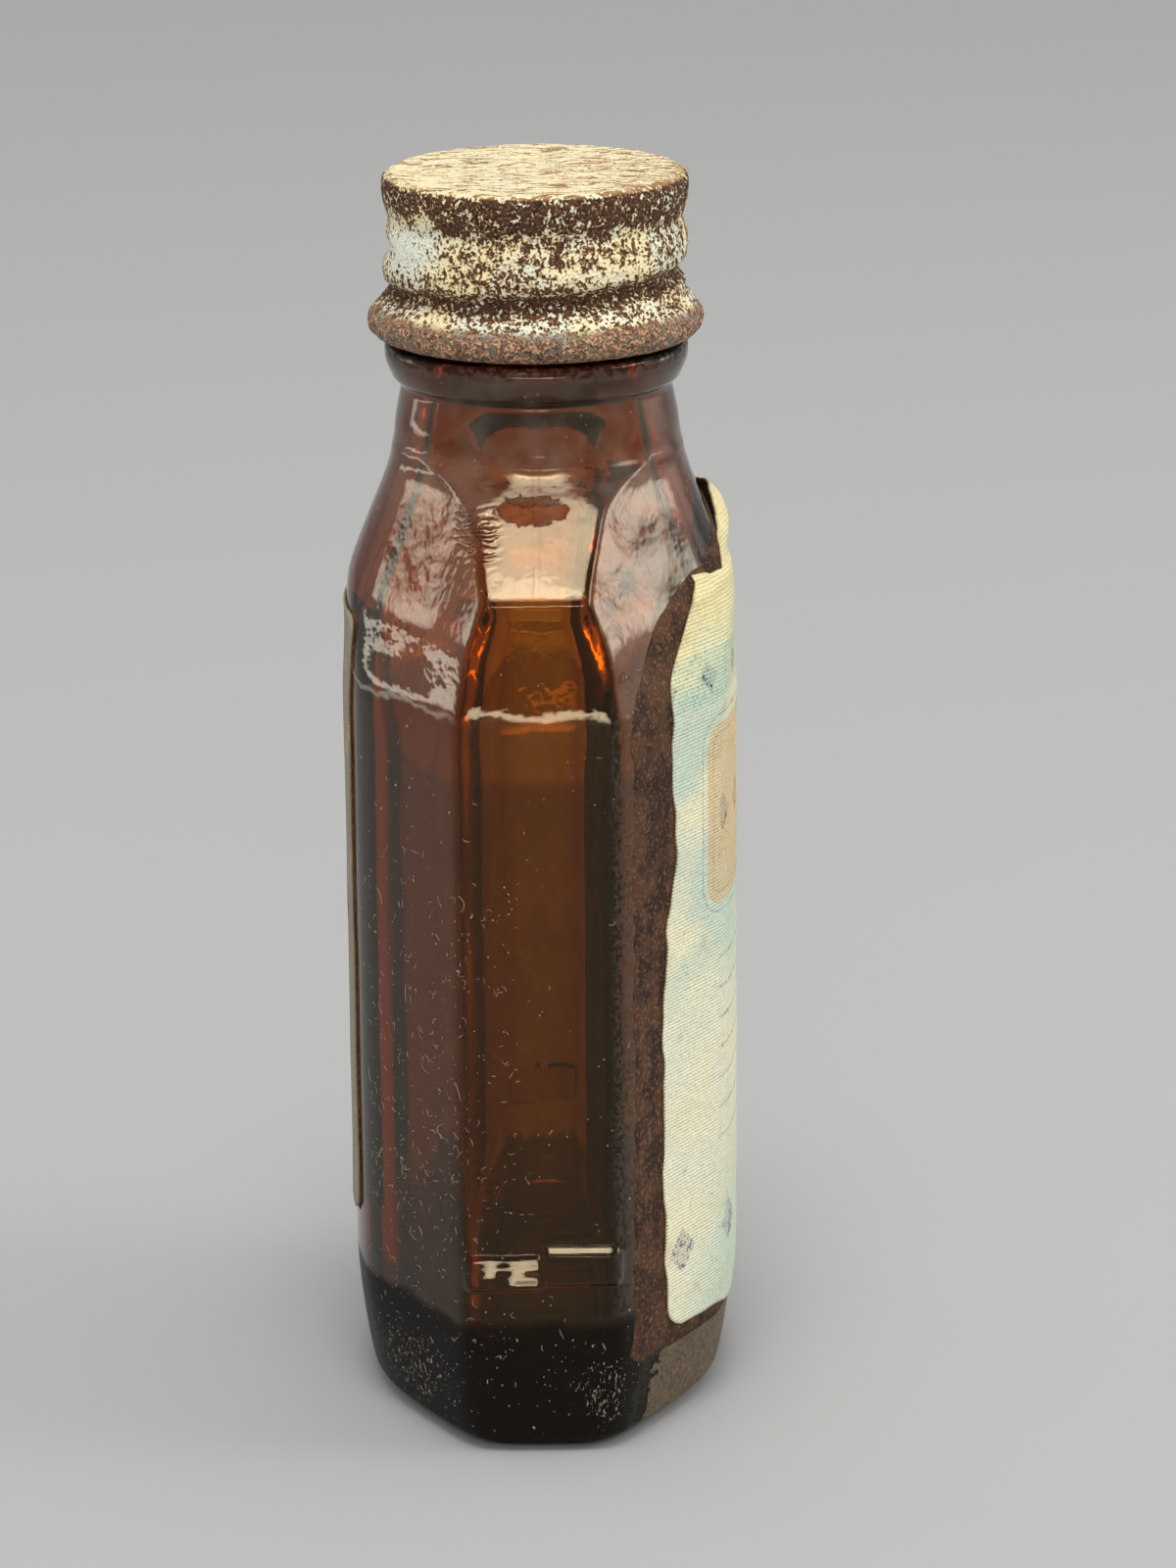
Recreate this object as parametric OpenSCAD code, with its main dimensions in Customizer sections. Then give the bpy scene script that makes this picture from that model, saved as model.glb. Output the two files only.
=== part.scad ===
// Small amber medicine bottle: an oblong body with chamfered corners, a faceted shoulder,
// a round neck with a screw finish, a tinplate screw cap with its wad, and two paper labels.
// Millimetres, +Z up, origin at the centre of the base. X runs across the narrow end faces,
// Y across the broad faces, and the large label is on the -Y side.

/* [Glass body] */
// Breadth across the two narrow end faces
body_breadth = 38; // [34:0.5:42]
// Depth across the crowns of the two broad faces
body_depth = 27; // [25:0.5:30]
// Width of each flat end face
end_face_w = 10.8; // [9:0.2:12]
// Width of each broad face between its chamfers
broad_face_w = 16.8; // [15:0.2:18]
// How far each broad face swells between its edges
broad_crown = 1; // [0.6:0.1:1.4]
// Height from the base to the foot of the shoulder
body_h = 54; // [45:1:65]
// Thickness of the side walls
wall = 1.7; // [1.2:0.1:2.2]
// Thickness of the glass over the bearing face
base_t = 6; // [4.5:0.5:7.5]
// Radius between the inner walls and the inner floor
floor_r = 3.5; // [2:0.5:5]

/* [Heel] */
// Height at which the walls start to draw in towards the base
heel_h = 9; // [7:0.5:11]
// How far the walls have drawn in at the heel edge
heel_draw = 1; // [0.6:0.1:1.4]
// Height of the heel edge above the bearing face
heel_edge_h = 1.3; // [0.8:0.1:1.8]
// How far the heel rounds in below its edge
heel_turn = 0.9; // [0.5:0.1:1.3]
// Width of the bearing ring round the hollow of the base
bearing_w = 3; // [2:0.25:4]
// Depth of the hollow under the base
push_up = 0.8; // [0.4:0.1:1.2]

/* [Label lug] */
// Length of the raised bar across an end face
lug_len = 11.2; // [9:0.2:12]
// Height of the raised bar
lug_w = 2.5; // [1.8:0.1:3]
// Height of the middle of the bar above the base
lug_z = 14; // [12:0.5:18]
// How far the bar stands out of the end face
lug_out = 0.6; // [0.4:0.05:0.8]
// How far the two halves of the bar are out of line at the mould seam
lug_shift = 0.4; // [0.2:0.05:0.6]

/* [Shoulder and neck] */
// Height from the foot of the shoulder to the foot of the neck
shoulder_h = 13.7; // [12.5:0.1:16]
// Lean of the chamfer facets and of the round sides, in degrees from upright
side_lean = 21; // [19:0.5:23]
// Height of the steep lower panel on each end of the shoulder
panel_h = 6.5; // [5.5:0.5:7.5]
// How far that panel leans in over its height
panel_draw = 1.4; // [1:0.1:1.8]
// Diameter of the neck at its foot
neck_foot_d = 20.2; // [19.6:0.1:21]
// Diameter of the neck under the bead
neck_d = 18.6; // [18:0.1:19.4]
// Height of the neck from its foot to the bead
neck_h = 4.2; // [3.5:0.1:6]

/* [Screw finish] */
// Height of the finish from the underside of the bead to the lip
finish_h = 13.1; // [12.6:0.1:14]
// Diameter of the transfer bead
bead_d = 20.8; // [20.2:0.1:21.4]
// Height of the transfer bead
bead_h = 2.9; // [2.5:0.1:3]
// Diameter of the finish between its threads
root_d = 17.5; // [17.2:0.1:17.8]
// Diameter over the thread
thread_d = 19.5; // [19.3:0.05:19.6]
// Rise of the thread in one turn
pitch = 3.175; // [3:0.025:3.4]
// Turns of thread on the glass
thread_turns = 1.35; // [1:0.05:1.5]
// Diameter of the mouth
bore_d = 13.4; // [12.4:0.1:14]
// Radius at the edges of the lip
lip_r = 0.5; // [0.3:0.05:0.7]

/* [Cap] */
// Thickness of the tinplate
tin = 0.3; // [0.2:0.05:0.35]
// Gap between the thread on the glass and the inside of the skirt
skirt_gap = 0.2; // [0.15:0.05:0.3]
// How far the rim stands out beyond the skirt
rim_out = 0.15; // [0.05:0.05:0.3]
// How far the waist under the rim draws in from the skirt
waist_in = 0.1; // [0.05:0.05:0.15]
// Radius of the rim's outer corner
rim_r = 1; // [0.7:0.1:1.2]
// Depth of the rolled thread groove
groove_depth = 0.42; // [0.36:0.02:0.44]
// Turns of the rolled thread groove
groove_turns = 1.15; // [0.9:0.05:1.3]
// Diameter over the rolled edge
curl_d = 22.6; // [22.2:0.1:23]
// Height of the rolled edge
curl_h = 2.3; // [2:0.1:2.6]
// Gap between the rolled edge and the bead on the glass
curl_gap = 0.35; // [0.25:0.05:0.5]

/* [Wad] */
// Thickness of the pulpboard
board_t = 1; // [0.8:0.1:1.4]
// Thickness of the waxed facing
facing_t = 0.1; // [0.08:0.02:0.2]
// Gap between the wad and the corner inside the rim
wad_gap = 0.05; // [0.05:0.05:0.3]

/* [Labels] */
// Thickness of the label paper
paper_t = 0.16; // [0.1:0.02:0.24]
// Thickness of the dried glue
glue_t = 0.08; // [0.04:0.02:0.12]
// Breadth of the front label, measured straight across
front_label_w = 29; // [26:0.5:31]
// Height of the front label's lower edge above the base
front_label_z = 6.8; // [6:0.2:10]
// Height of the front label's full-width part
front_label_h = 52.8; // [44:0.4:53.2]
// Breadth of the piece torn off one upper corner
torn_w = 6; // [4:0.5:8]
// Height of the piece torn off that corner
torn_h = 6.5; // [4:0.5:8]
// Height of the tongue that runs on over the shoulder
tongue_h = 6; // [4:0.5:7]
// Breadth of that tongue
tongue_w = 12.5; // [10:0.5:14]
// Radius at the front label's corners
front_label_r = 1.6; // [1:0.1:2.4]
// How far the glue shows beside the front label
glue_reach = 3.4; // [2:0.2:3.6]
// How far the glue shows above and below the label
glue_edge = 0.6; // [0.4:0.1:1]
// Breadth of the back label
back_label_w = 12.6; // [10:0.2:16.4]
// Height of the back label
back_label_h = 43.4; // [34:0.2:44]
// Height of the back label's lower edge above the base
back_label_z = 13.4; // [12:0.2:18]
// Radius at the back label's corners
back_label_r = 1.2; // [0.8:0.1:2]

/* [Hidden] */

// Smoothness of round faces, of small corners and of the helices
round_fn = 96;
corner_steps = 4;
helix_steps = 48;

// How far one solid runs into another where they are fused or cut
overrun = 1;
sink = 0.12;

// Plan of the body: the chamfer planes, their direction and the arc of the broad faces
half_breadth = body_breadth / 2;
half_depth = body_depth / 2;
corner_y = half_depth - broad_crown;
corner_x = broad_face_w / 2;
end_y = end_face_w / 2;
chamfer_angle = atan2(half_breadth - corner_x, corner_y - end_y);
chamfer_d = half_breadth * cos(chamfer_angle) + end_y * sin(chamfer_angle);
crown_r = (corner_x * corner_x + broad_crown * broad_crown) / (2 * broad_crown);

// Heights of the glass, from the base up
neck_foot_z = body_h + shoulder_h;
bead_z = neck_foot_z + neck_h;
// The neck runs on a little way into the bead
neck_top_z = bead_z + sink;
lip_z = bead_z + finish_h;
bead_top_z = bead_z + bead_h;

// The shoulder's round sides stand a little outside the chamfer facets, which cut them in a crease
crease_share = 1.008;
side_r = chamfer_d * crease_share;
neck_foot_r = neck_foot_d / 2;
neck_r = neck_d / 2;
// The dome that rounds off the facets' ridges just under the neck
dome_r = half_breadth + 1.6 * wall;
dome_lean = 51;
// The cavity's shoulder sits lower than the outside by this much
inner_drop = 0.7 * wall;
facet_r = 2.5;
neck_foot_fillet = 1.4;
heel_blend_r = 24;
heel_r = 0.8;

// Screw finish, measured down from the lip
root_r = root_d / 2;
thread_r = thread_d / 2;
bore_r = bore_d / 2;
bead_r = bead_d / 2;
// Shape of the thread ridge: half its height at the root and at the crest
ridge_root_half = 1.1;
ridge_crest_half = 0.4;
thread_below_lip = 1.7;
thread_end_z = lip_z - thread_below_lip;
thread_start_z = thread_end_z - thread_turns * pitch;
// The side on which the thread on the glass begins, in degrees from +X
thread_start_angle = 100;
fade_turn_share = 0.12;

// Cap, seated on the wad
wad_t = board_t + facing_t;
cap_top_z = lip_z + wad_t + tin;
skirt_inner_r = thread_r + skirt_gap;
skirt_r = skirt_inner_r + tin / 2;
rim_mid_r = skirt_r + rim_out;
wad_r = rim_mid_r - tin / 2 - (rim_r - tin) - wad_gap;
curl_bottom_z = bead_top_z + curl_gap;
// The rolled groove, and the ridge that it raises inside the skirt: half heights at crest and base
groove_half = 0.28;
groove_wide = 0.85;
groove_crest_r = skirt_inner_r - groove_depth;
inner_half = groove_half + tin / 2;
inner_wide = groove_wide + tin;
inner_base_r = skirt_inner_r + tin / 2;
// The ridge inside the cap lies under the thread on the glass, with this gap between their flanks
flank_gap = 0.14;
ridge_half_there = ridge_crest_half
    + (ridge_root_half - ridge_crest_half) * (thread_r - groove_crest_r) / (thread_r - root_r);
inner_half_there = inner_half
    + (inner_wide - inner_half) * (thread_r - groove_crest_r) / (inner_base_r - groove_crest_r);
groove_below = flank_gap + max(ridge_half_there + inner_half, ridge_crest_half + inner_half_there);
groove_start_z = curl_bottom_z + curl_h;
groove_start_angle = thread_start_angle
    + 360 * (groove_start_z + groove_below - thread_start_z) / pitch;

// Labels
front_half = front_label_w / 2;
front_top_z = front_label_z + front_label_h;
// The tongue is all that is left of the label's upper part: one side of it is torn away
tongue_side_share = 0.24;

function unit(v) = v / norm(v);
function turn(v, a) = [v.x * cos(a) - v.y * sin(a), v.x * sin(a) + v.y * cos(a)];

// Corner of a path: an arc of radius r that touches the runs before and after it. The arc is
// limited so that it never takes more than its share of either run, and a corner whose half angle
// is nearly a right angle stays as it is.
run_share = 0.45;
straight_half = 89.9;
function corner(before, at, after, r) =
    let (u = unit(before - at), w = unit(after - at), half = acos(max(-1, min(1, u * w))) / 2)
    (r == 0 || half > straight_half) ? [at] :
    let (room = run_share * min(norm(before - at), norm(after - at)),
         reach = min(r / tan(half), room),
         bend = reach * tan(half),
         centre = at + unit(u + w) * (bend / sin(half)),
         from = at + u * reach - centre,
         side = (u.x * w.y - u.y * w.x) > 0 ? -1 : 1,
         sweep = side * (180 - 2 * half))
    [for (i = [0:corner_steps]) centre + turn(from, sweep * i / corner_steps)];

// Path through points [x, y, r], with each corner rounded by its own r
function rounded(points) =
    let (n = len(points), flat = [for (p = points) [p.x, p.y]])
    [for (i = [0:n - 1]) each (i == 0 || i == n - 1)
        ? [flat[i]] : corner(flat[i - 1], flat[i], flat[i + 1], points[i].z)];

// Closed outline through points [x, y, r]
function rounded_loop(points) =
    let (n = len(points), flat = [for (p = points) [p.x, p.y]])
    [for (i = [0:n - 1]) each corner(flat[(i + n - 1) % n], flat[i], flat[(i + 1) % n], points[i].z)];

function mirrored(path) =
    concat(path, [for (i = [len(path) - 1:-1:0]) [-path[i].x, path[i].y]]);

// Foot of a wall that stands at distance d: the drawn-in heel outside, the rounded floor inside.
// On the chamfers both start a little higher than on the flat walls beside them.
chamfer_lift = 0.06;
function heel(d, lift) = [
    [d - heel_draw - heel_turn, 0, 0],
    [d - heel_draw, heel_edge_h + lift, heel_r],
    [d, heel_h + lift, heel_blend_r]];
function floor_corner(d, lift) = [[0, base_t, 0], [d, base_t, floor_r + lift]];
function foot(d, inside, lift = 0) = inside ? floor_corner(d, lift) : heel(d, lift);

// Side view of the end walls: upright, then a steep panel, then a bend in to the neck
function end_profile(grow, drop, inside) = rounded(concat(
    foot(half_breadth + grow, inside),
    [[half_breadth + grow, body_h - drop, facet_r],
     [half_breadth - panel_draw + grow, body_h + panel_h - drop, facet_r],
     [neck_foot_r + grow, neck_foot_z - drop, neck_foot_fillet],
     [neck_foot_r + grow, neck_top_z, 0]]));

// Side view of the chamfers: upright, then one straight lean up to the neck
chamfer_rise = (chamfer_d - neck_foot_r) / tan(side_lean);
function chamfer_profile(grow, drop, inside) = rounded(concat(
    foot(chamfer_d + grow, inside, chamfer_lift),
    [[chamfer_d + grow, body_h - drop, facet_r],
     [neck_foot_r + grow, body_h + chamfer_rise - drop, neck_foot_fillet],
     [neck_foot_r + grow, neck_top_z, 0]]));

// Side view of the broad walls, which only limits them at the foot
function broad_profile(grow, inside) = rounded(concat(
    foot(half_depth + grow, inside),
    [[half_depth + grow, neck_top_z, 0]]));

// Half section of the shoulder's round sides, about the bottle's axis
side_rise = (side_r - neck_foot_r - sink) / tan(side_lean);
function side_profile(grow, drop) = [
    [0, 0],
    [side_r + grow, 0],
    [side_r + grow, body_h - drop],
    [neck_foot_r + sink + grow, body_h + side_rise - drop],
    [neck_foot_r + sink + grow, neck_top_z + overrun],
    [0, neck_top_z + overrun]];

// Half section of the dome and the neck, about the bottle's axis
dome_foot_z = neck_foot_z - (dome_r - neck_foot_r) / tan(dome_lean);
function dome_profile(grow, drop, inside) = rounded(concat(
    [[0, 0, 0],
     [dome_r + grow, 0, 0],
     [dome_r + grow, dome_foot_z - drop, 0],
     [neck_foot_r + grow, neck_foot_z - drop, neck_foot_fillet]],
    inside ? [[bore_r - sink, bead_z, 0], [0, bead_z, 0]]
           : [[neck_r + grow, bead_z, 0], [neck_r + grow, neck_top_z, 0], [0, neck_top_z, 0]]));

// A wall profile carried straight along the bottle, both ways from its middle plane
module slab(profile, angle) {
    rotate([0, 0, angle])
        rotate([90, 0, 0])
            linear_extrude(height = 2 * body_breadth, center = true)
                polygon(mirrored(profile));
}

// The two broad faces: where two large circles overlap
module broad_faces(grow) {
    linear_extrude(height = lip_z)
        intersection() {
            translate([0, half_depth - crown_r])
                circle(r = crown_r + grow, $fn = round_fn);
            translate([0, crown_r - half_depth])
                circle(r = crown_r + grow, $fn = round_fn);
        }
}

// The sectors at the two narrow ends, where the round sides don't reach
module end_sectors() {
    reach = 2 * half_breadth;
    for (side = [0, 180])
        rotate([0, 0, side])
            linear_extrude(height = neck_top_z + overrun)
                polygon([[0, 0], reach * [cos(chamfer_angle), -sin(chamfer_angle)],
                         reach * [1, 0] * crease_share / cos(chamfer_angle),
                         reach * [cos(chamfer_angle), sin(chamfer_angle)]]);
}

// The whole form of the body and shoulder up to the bead, grown or shrunk evenly
module body_form(grow, drop, inside) {
    intersection() {
        slab(end_profile(grow, drop, inside), 0);
        slab(chamfer_profile(grow, drop, inside), chamfer_angle);
        slab(chamfer_profile(grow, drop, inside), -chamfer_angle);
        slab(broad_profile(grow, inside), 90);
        broad_faces(grow);
        rotate_extrude($fn = round_fn) polygon(dome_profile(grow, drop, inside));
        union() {
            rotate_extrude($fn = round_fn) polygon(side_profile(grow, drop));
            end_sectors();
        }
    }
}

// Ridge or groove that climbs round the axis. Each ring of the sweep has the corners
// [radius, height from its middle]. The ridge grows out of its start and sinks into its end.
module helix(start_z, start_angle, turns, base_r, crest_r, flat_r, base_half, crest_half) {
    steps = ceil(turns * helix_steps);
    fade = fade_turn_share / turns;
    // Corners run the other way round where the sweep points outwards, so that faces look outwards
    up = crest_r > base_r ? -1 : 1;
    function height_share(t) = min(1, t / fade, (1 - t) / fade);
    function ring(t) =
        let (share = height_share(t), r = flat_r + (crest_r - flat_r) * share,
             a = start_angle + 360 * turns * t, z = start_z + pitch * turns * t)
        [for (c = [[base_r, -up * base_half], [r, -up * crest_half],
                   [r, up * crest_half], [base_r, up * base_half]])
            [c.x * cos(a), c.x * sin(a), z + c.y]];
    corners = 4;
    points = [for (i = [0:steps]) each ring(i / steps)];
    faces = concat(
        [[for (j = [0:corners - 1]) j]],
        [for (i = [0:steps - 1], j = [0:corners - 1])
            let (k = (j + 1) % corners, a = i * corners, b = a + corners)
            each [[a + j, b + j, a + k], [a + k, b + j, b + k]]],
        [[for (j = [corners - 1:-1:0]) steps * corners + j]]);
    polyhedron(points = points, faces = faces);
}

// Raised bar in two halves that miss each other a little at the mould seam
module lug() {
    half_len = lug_len / 2;
    tip_r = lug_w / 2;
    for (side = [-1, 1])
        translate([half_breadth - overrun, 0, lug_z - side * lug_shift / 2])
            rotate([90, 0, 90])
                linear_extrude(height = overrun + lug_out)
                    union() {
                        translate([side * (half_len - tip_r), 0]) circle(r = tip_r, $fn = round_fn);
                        translate([min(0, side * (half_len - tip_r)), -tip_r])
                            square([half_len - tip_r, lug_w]);
                    }
}

// Half section of the bead, the finish and its lip
function finish_profile() = rounded([
    [0, bead_z - neck_h / 2, 0],
    [neck_r - sink, bead_z - neck_h / 2, 0],
    [neck_r - sink, bead_z - sink, 0],
    [bead_r - (bead_r - neck_r) / 3, bead_z + bead_h / 4, bead_h],
    [bead_r, bead_z + bead_h / 2, bead_h],
    [bead_r, bead_top_z, bead_h / 6],
    [root_r, bead_top_z, 0],
    [root_r, lip_z, lip_r],
    [0, lip_z, 0]]);

// Half section of the mouth, which widens at the lip
function mouth_profile() =
    let (centre = [bore_r + lip_r, lip_z - lip_r])
    concat([[0, bead_z - neck_h], [bore_r, bead_z - neck_h]],
           [for (i = [0:corner_steps]) centre + turn([-lip_r, 0], -90 * i / corner_steps)],
           [[bore_r + lip_r, lip_z + overrun], [0, lip_z + overrun]]);

// Hollow under the base, inside the bearing ring
module base_hollow() {
    inset = heel_draw + heel_turn + bearing_w;
    chamfer_band = [2 * (chamfer_d - inset), 2 * body_breadth];
    translate([0, 0, -overrun])
        linear_extrude(height = overrun + push_up)
            intersection() {
                square([2 * (half_breadth - inset), 2 * (half_depth - inset)], center = true);
                rotate(chamfer_angle) square(chamfer_band, center = true);
                rotate(-chamfer_angle) square(chamfer_band, center = true);
            }
}

module glass_bottle() {
    color([0.36, 0.14, 0.03, 0.75])
        difference() {
            union() {
                body_form(0, 0, false);
                rotate_extrude($fn = round_fn) polygon(finish_profile());
                helix(thread_start_z, thread_start_angle, thread_turns, root_r - sink, thread_r,
                      root_r - sink / 2, ridge_root_half, ridge_crest_half);
                lug();
                mirror([1, 0, 0]) lug();
            }
            body_form(-wall, inner_drop, true);
            rotate_extrude($fn = round_fn) polygon(mouth_profile());
            base_hollow();
        }
}

// Middle line of the tinplate, from the middle of the top to the end of the rolled edge. The edge
// turns outwards and down round curl_r, and then rolls in on itself round roll_r.
curl_r = (curl_h - tin) / 2;
curl_centre = [(curl_d - tin) / 2 - curl_r, curl_bottom_z + curl_h / 2];
curl_from = 40;
curl_to = -62;
roll_share = 0.3;
roll_sweep = -200;
roll_r = roll_share * curl_r;
roll_centre = curl_centre + (curl_r - roll_r) * [cos(curl_to), sin(curl_to)];
waist_z = cap_top_z - rim_r - curl_h;
flare_share = 1.35;
flare_z = curl_bottom_z + flare_share * curl_h;
function arc(centre, r, from, sweep) =
    let (n = 2 * corner_steps)
    [for (i = [0:n]) centre + r * [cos(from + sweep * i / n), sin(from + sweep * i / n)]];
cap_line = concat(
    rounded([[0, cap_top_z - tin / 2, 0],
             [rim_mid_r, cap_top_z - tin / 2, rim_r - tin / 2],
             [rim_mid_r, cap_top_z - rim_r - tin, curl_h / 2],
             [skirt_r - waist_in, waist_z, curl_h / 2],
             [skirt_r, waist_z - curl_h / 2, curl_h / 2],
             [skirt_r, flare_z, 0]]),
    arc(curl_centre, curl_r, curl_from, curl_to - curl_from),
    arc(roll_centre, roll_r, curl_to, roll_sweep));

// Even strip of thickness t along a path
function strip(path, t) =
    let (n = len(path),
         normals = [for (i = [0:n - 1])
            let (d = unit(path[min(i + 1, n - 1)] - path[max(i - 1, 0)])) [-d.y, d.x]])
    concat([for (i = [0:n - 1]) path[i] + normals[i] * t / 2],
           [for (i = [n - 1:-1:0]) path[i] - normals[i] * t / 2]);

module cap_shell() {
    color([0.86, 0.80, 0.64])
        difference() {
            union() {
                rotate_extrude($fn = round_fn) polygon(strip(cap_line, tin));
                helix(groove_start_z, groove_start_angle, groove_turns, inner_base_r,
                      groove_crest_r, skirt_inner_r + tin / 4, inner_wide, inner_half);
            }
            helix(groove_start_z, groove_start_angle, groove_turns, skirt_inner_r + 2 * tin,
                  groove_crest_r + tin, skirt_inner_r + tin + sink, inner_wide, groove_half);
        }
}

module liner_board() {
    color([0.62, 0.50, 0.36])
        translate([0, 0, lip_z + facing_t])
            cylinder(h = board_t, r = wad_r, $fn = round_fn);
}

module liner_facing() {
    color([0.85, 0.82, 0.72])
        translate([0, 0, lip_z])
            cylinder(h = facing_t, r = wad_r, $fn = round_fn);
}

// A flat outline in X and Z, carried through one half of the bottle
module through_side(outline, side) {
    rotate([90, 0, side > 0 ? 180 : 0])
        linear_extrude(height = body_depth)
            polygon(outline);
}

// Outline of the front label, with the torn tongue over the shoulder
tongue_left = -tongue_side_share * tongue_w;
tongue_right = tongue_left + tongue_w;
tongue_top_z = front_top_z + tongue_h;
function label_outline() = rounded_loop([
    [-front_half, front_label_z, front_label_r], [front_half, front_label_z, front_label_r],
    [front_half, front_top_z, front_label_r], [tongue_right, front_top_z, 0],
    [tongue_right, tongue_top_z, front_label_r], [tongue_left, tongue_top_z, front_label_r],
    [tongue_left, front_top_z, 0], [-front_half + torn_w, front_top_z, front_label_r],
    [-front_half, front_top_z - torn_h, front_label_r]]);

// Outline of its glue, which shows as a wide band at the left of the upright wall
function glue_outline() =
    let (e = glue_edge, left = -front_half - glue_reach, right = front_half + e, r = front_label_r)
    rounded_loop([
        [left, front_label_z - e, r], [right, front_label_z - e, r], [right, front_top_z + e, r],
        [tongue_right + e, front_top_z + e, 0], [tongue_right + e, tongue_top_z + e, r],
        [tongue_left - e, tongue_top_z + e, r], [tongue_left - e, front_top_z + e, 0],
        [-front_half + torn_w - e, front_top_z + e, r], [left, front_top_z - torn_h, r]]);

function back_outline(edge) =
    let (half = back_label_w / 2 + edge, low = back_label_z - edge,
         high = back_label_z + back_label_h + edge)
    rounded_loop([[-half, low, back_label_r], [half, low, back_label_r],
                  [half, high, back_label_r], [-half, high, back_label_r]]);

// A skin on the outside of the glass, between two distances from it
module skin(outline, side, inner, outer) {
    difference() {
        intersection() {
            body_form(outer, 0, false);
            through_side(outline, side);
        }
        body_form(inner, 0, false);
    }
}

module front_label() {
    color([0.86, 0.87, 0.70])
        skin(label_outline(), -1, glue_t, glue_t + paper_t);
}

module front_label_glue() {
    color([0.35, 0.26, 0.17])
        skin(glue_outline(), -1, 0, glue_t);
}

module back_label() {
    color([0.80, 0.79, 0.70])
        skin(back_outline(0), 1, glue_t, glue_t + paper_t);
}

module back_label_glue() {
    color([0.45, 0.36, 0.22])
        skin(back_outline(glue_edge / 3), 1, 0, glue_t);
}

glass_bottle();
cap_shell();
liner_board();
liner_facing();
front_label();
front_label_glue();
back_label();
back_label_glue();
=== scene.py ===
"""Looks of a small amber medicine bottle with a rusted screw cap and two paper labels.

+Z is up, X runs across the narrow end faces and Y across the broad ones. The front label is on the
-Y side, and the camera stands on the -X side. Shapes are worked out in millimetres, and the mesh
functions turn them into metres.
"""
import math

import bpy
import numpy as np
from mathutils import Matrix, Vector


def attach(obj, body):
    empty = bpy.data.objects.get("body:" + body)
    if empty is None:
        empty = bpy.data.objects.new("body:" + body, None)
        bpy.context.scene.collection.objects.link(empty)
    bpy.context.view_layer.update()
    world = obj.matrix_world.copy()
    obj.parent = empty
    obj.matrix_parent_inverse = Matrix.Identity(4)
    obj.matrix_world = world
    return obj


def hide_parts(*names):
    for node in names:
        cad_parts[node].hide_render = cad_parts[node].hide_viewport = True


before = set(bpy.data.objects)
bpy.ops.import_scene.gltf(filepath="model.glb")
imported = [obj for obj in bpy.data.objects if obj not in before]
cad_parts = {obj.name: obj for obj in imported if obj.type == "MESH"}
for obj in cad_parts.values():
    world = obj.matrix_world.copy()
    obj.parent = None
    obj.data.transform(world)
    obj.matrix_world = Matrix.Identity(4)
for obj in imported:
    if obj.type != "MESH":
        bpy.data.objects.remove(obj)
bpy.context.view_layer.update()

MM = 0.001
TURN = 2 * math.pi

# Camera, worked out from the ellipses of the cap and the outline of the glass
PHOTO_HEIGHT_PX = 1600
FOCAL_PX = 5500
SENSOR_MM = 36
CAMERA_AT = (-361.4, -3.3, 152.3)
CAMERA_PITCH = 16.85
CAMERA_ROLL = 0.45


def make_camera():
    """Camera at the photograph's viewing angle, looking along +X and a little down."""
    data = bpy.data.cameras.new("camera")
    data.sensor_width = SENSOR_MM
    data.lens = FOCAL_PX * SENSOR_MM / PHOTO_HEIGHT_PX
    data.clip_start = 0.01
    pitch, roll = math.radians(CAMERA_PITCH), math.radians(CAMERA_ROLL)
    forward = Vector((math.cos(pitch), 0, -math.sin(pitch)))
    level_up = Vector((math.sin(pitch), 0, math.cos(pitch)))
    level_right = forward.cross(level_up)
    up = level_up * math.cos(roll) + level_right * math.sin(roll)
    right = level_right * math.cos(roll) - level_up * math.sin(roll)
    turned = Matrix((right, up, -forward)).transposed().to_4x4()
    camera = bpy.data.objects.new("camera", data)
    bpy.context.scene.collection.objects.link(camera)
    camera.matrix_world = Matrix.Translation(Vector(CAMERA_AT) * MM) @ turned
    bpy.context.scene.camera = camera


make_camera()

# Plan of the body, in millimetres from the axis
HALF_BREADTH = 19.0
HALF_DEPTH = 13.5
CHAMFER_ANGLE = math.radians(56.19)
CHAMFER_D = 15.06
CROWN_R = 35.78
SIDE_R = 15.18
SIDE_FROM = CHAMFER_ANGLE + math.radians(7.2)
WALL = 1.7

# Heights of the glass
BASE_T = 6.0
FLOOR_R = 3.5
HEEL_EDGE_Z = 1.3
HEEL_TOP_Z = 10.5
HEEL_DRAW = 1.0
HEEL_TURN = 1.5
BEARING_W = 3.0
PUSH_UP = 0.8
BODY_H = 54.0
PANEL_TOP_Z = 60.5
PANEL_DRAW = 1.4
FACET_CROWN = 0.2
NECK_FOOT_Z = 67.7
NECK_FOOT_R = 10.1
BEAD_Z = 71.9
NECK_R = 9.3
INNER_DROP = 1.2

# Shoulder: how far each wall leans in for each millimetre up, and how soft its bends are
END_LEAN_ROOM = 1.0
END_LEAN_SLOPE = 0.15
PANEL_RISE = 0.2
END_BEND = 0.1
RIDGE_Z = 52.7
RIDGE_SLOPE = 0.24
RIDGE_BEND = 0.14
BREAK_Z = 57.6
BREAK_SLOPE = 0.41
BREAK_BEND = 0.06
SIDE_SLOPE = 0.384
SIDE_BEND = 0.2
DOME_SLOPE = 1.5
NECK_HOLLOW = 0.25
FACET_WAVE = 0.07
FOLD_DEPTH = 0.08

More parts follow.
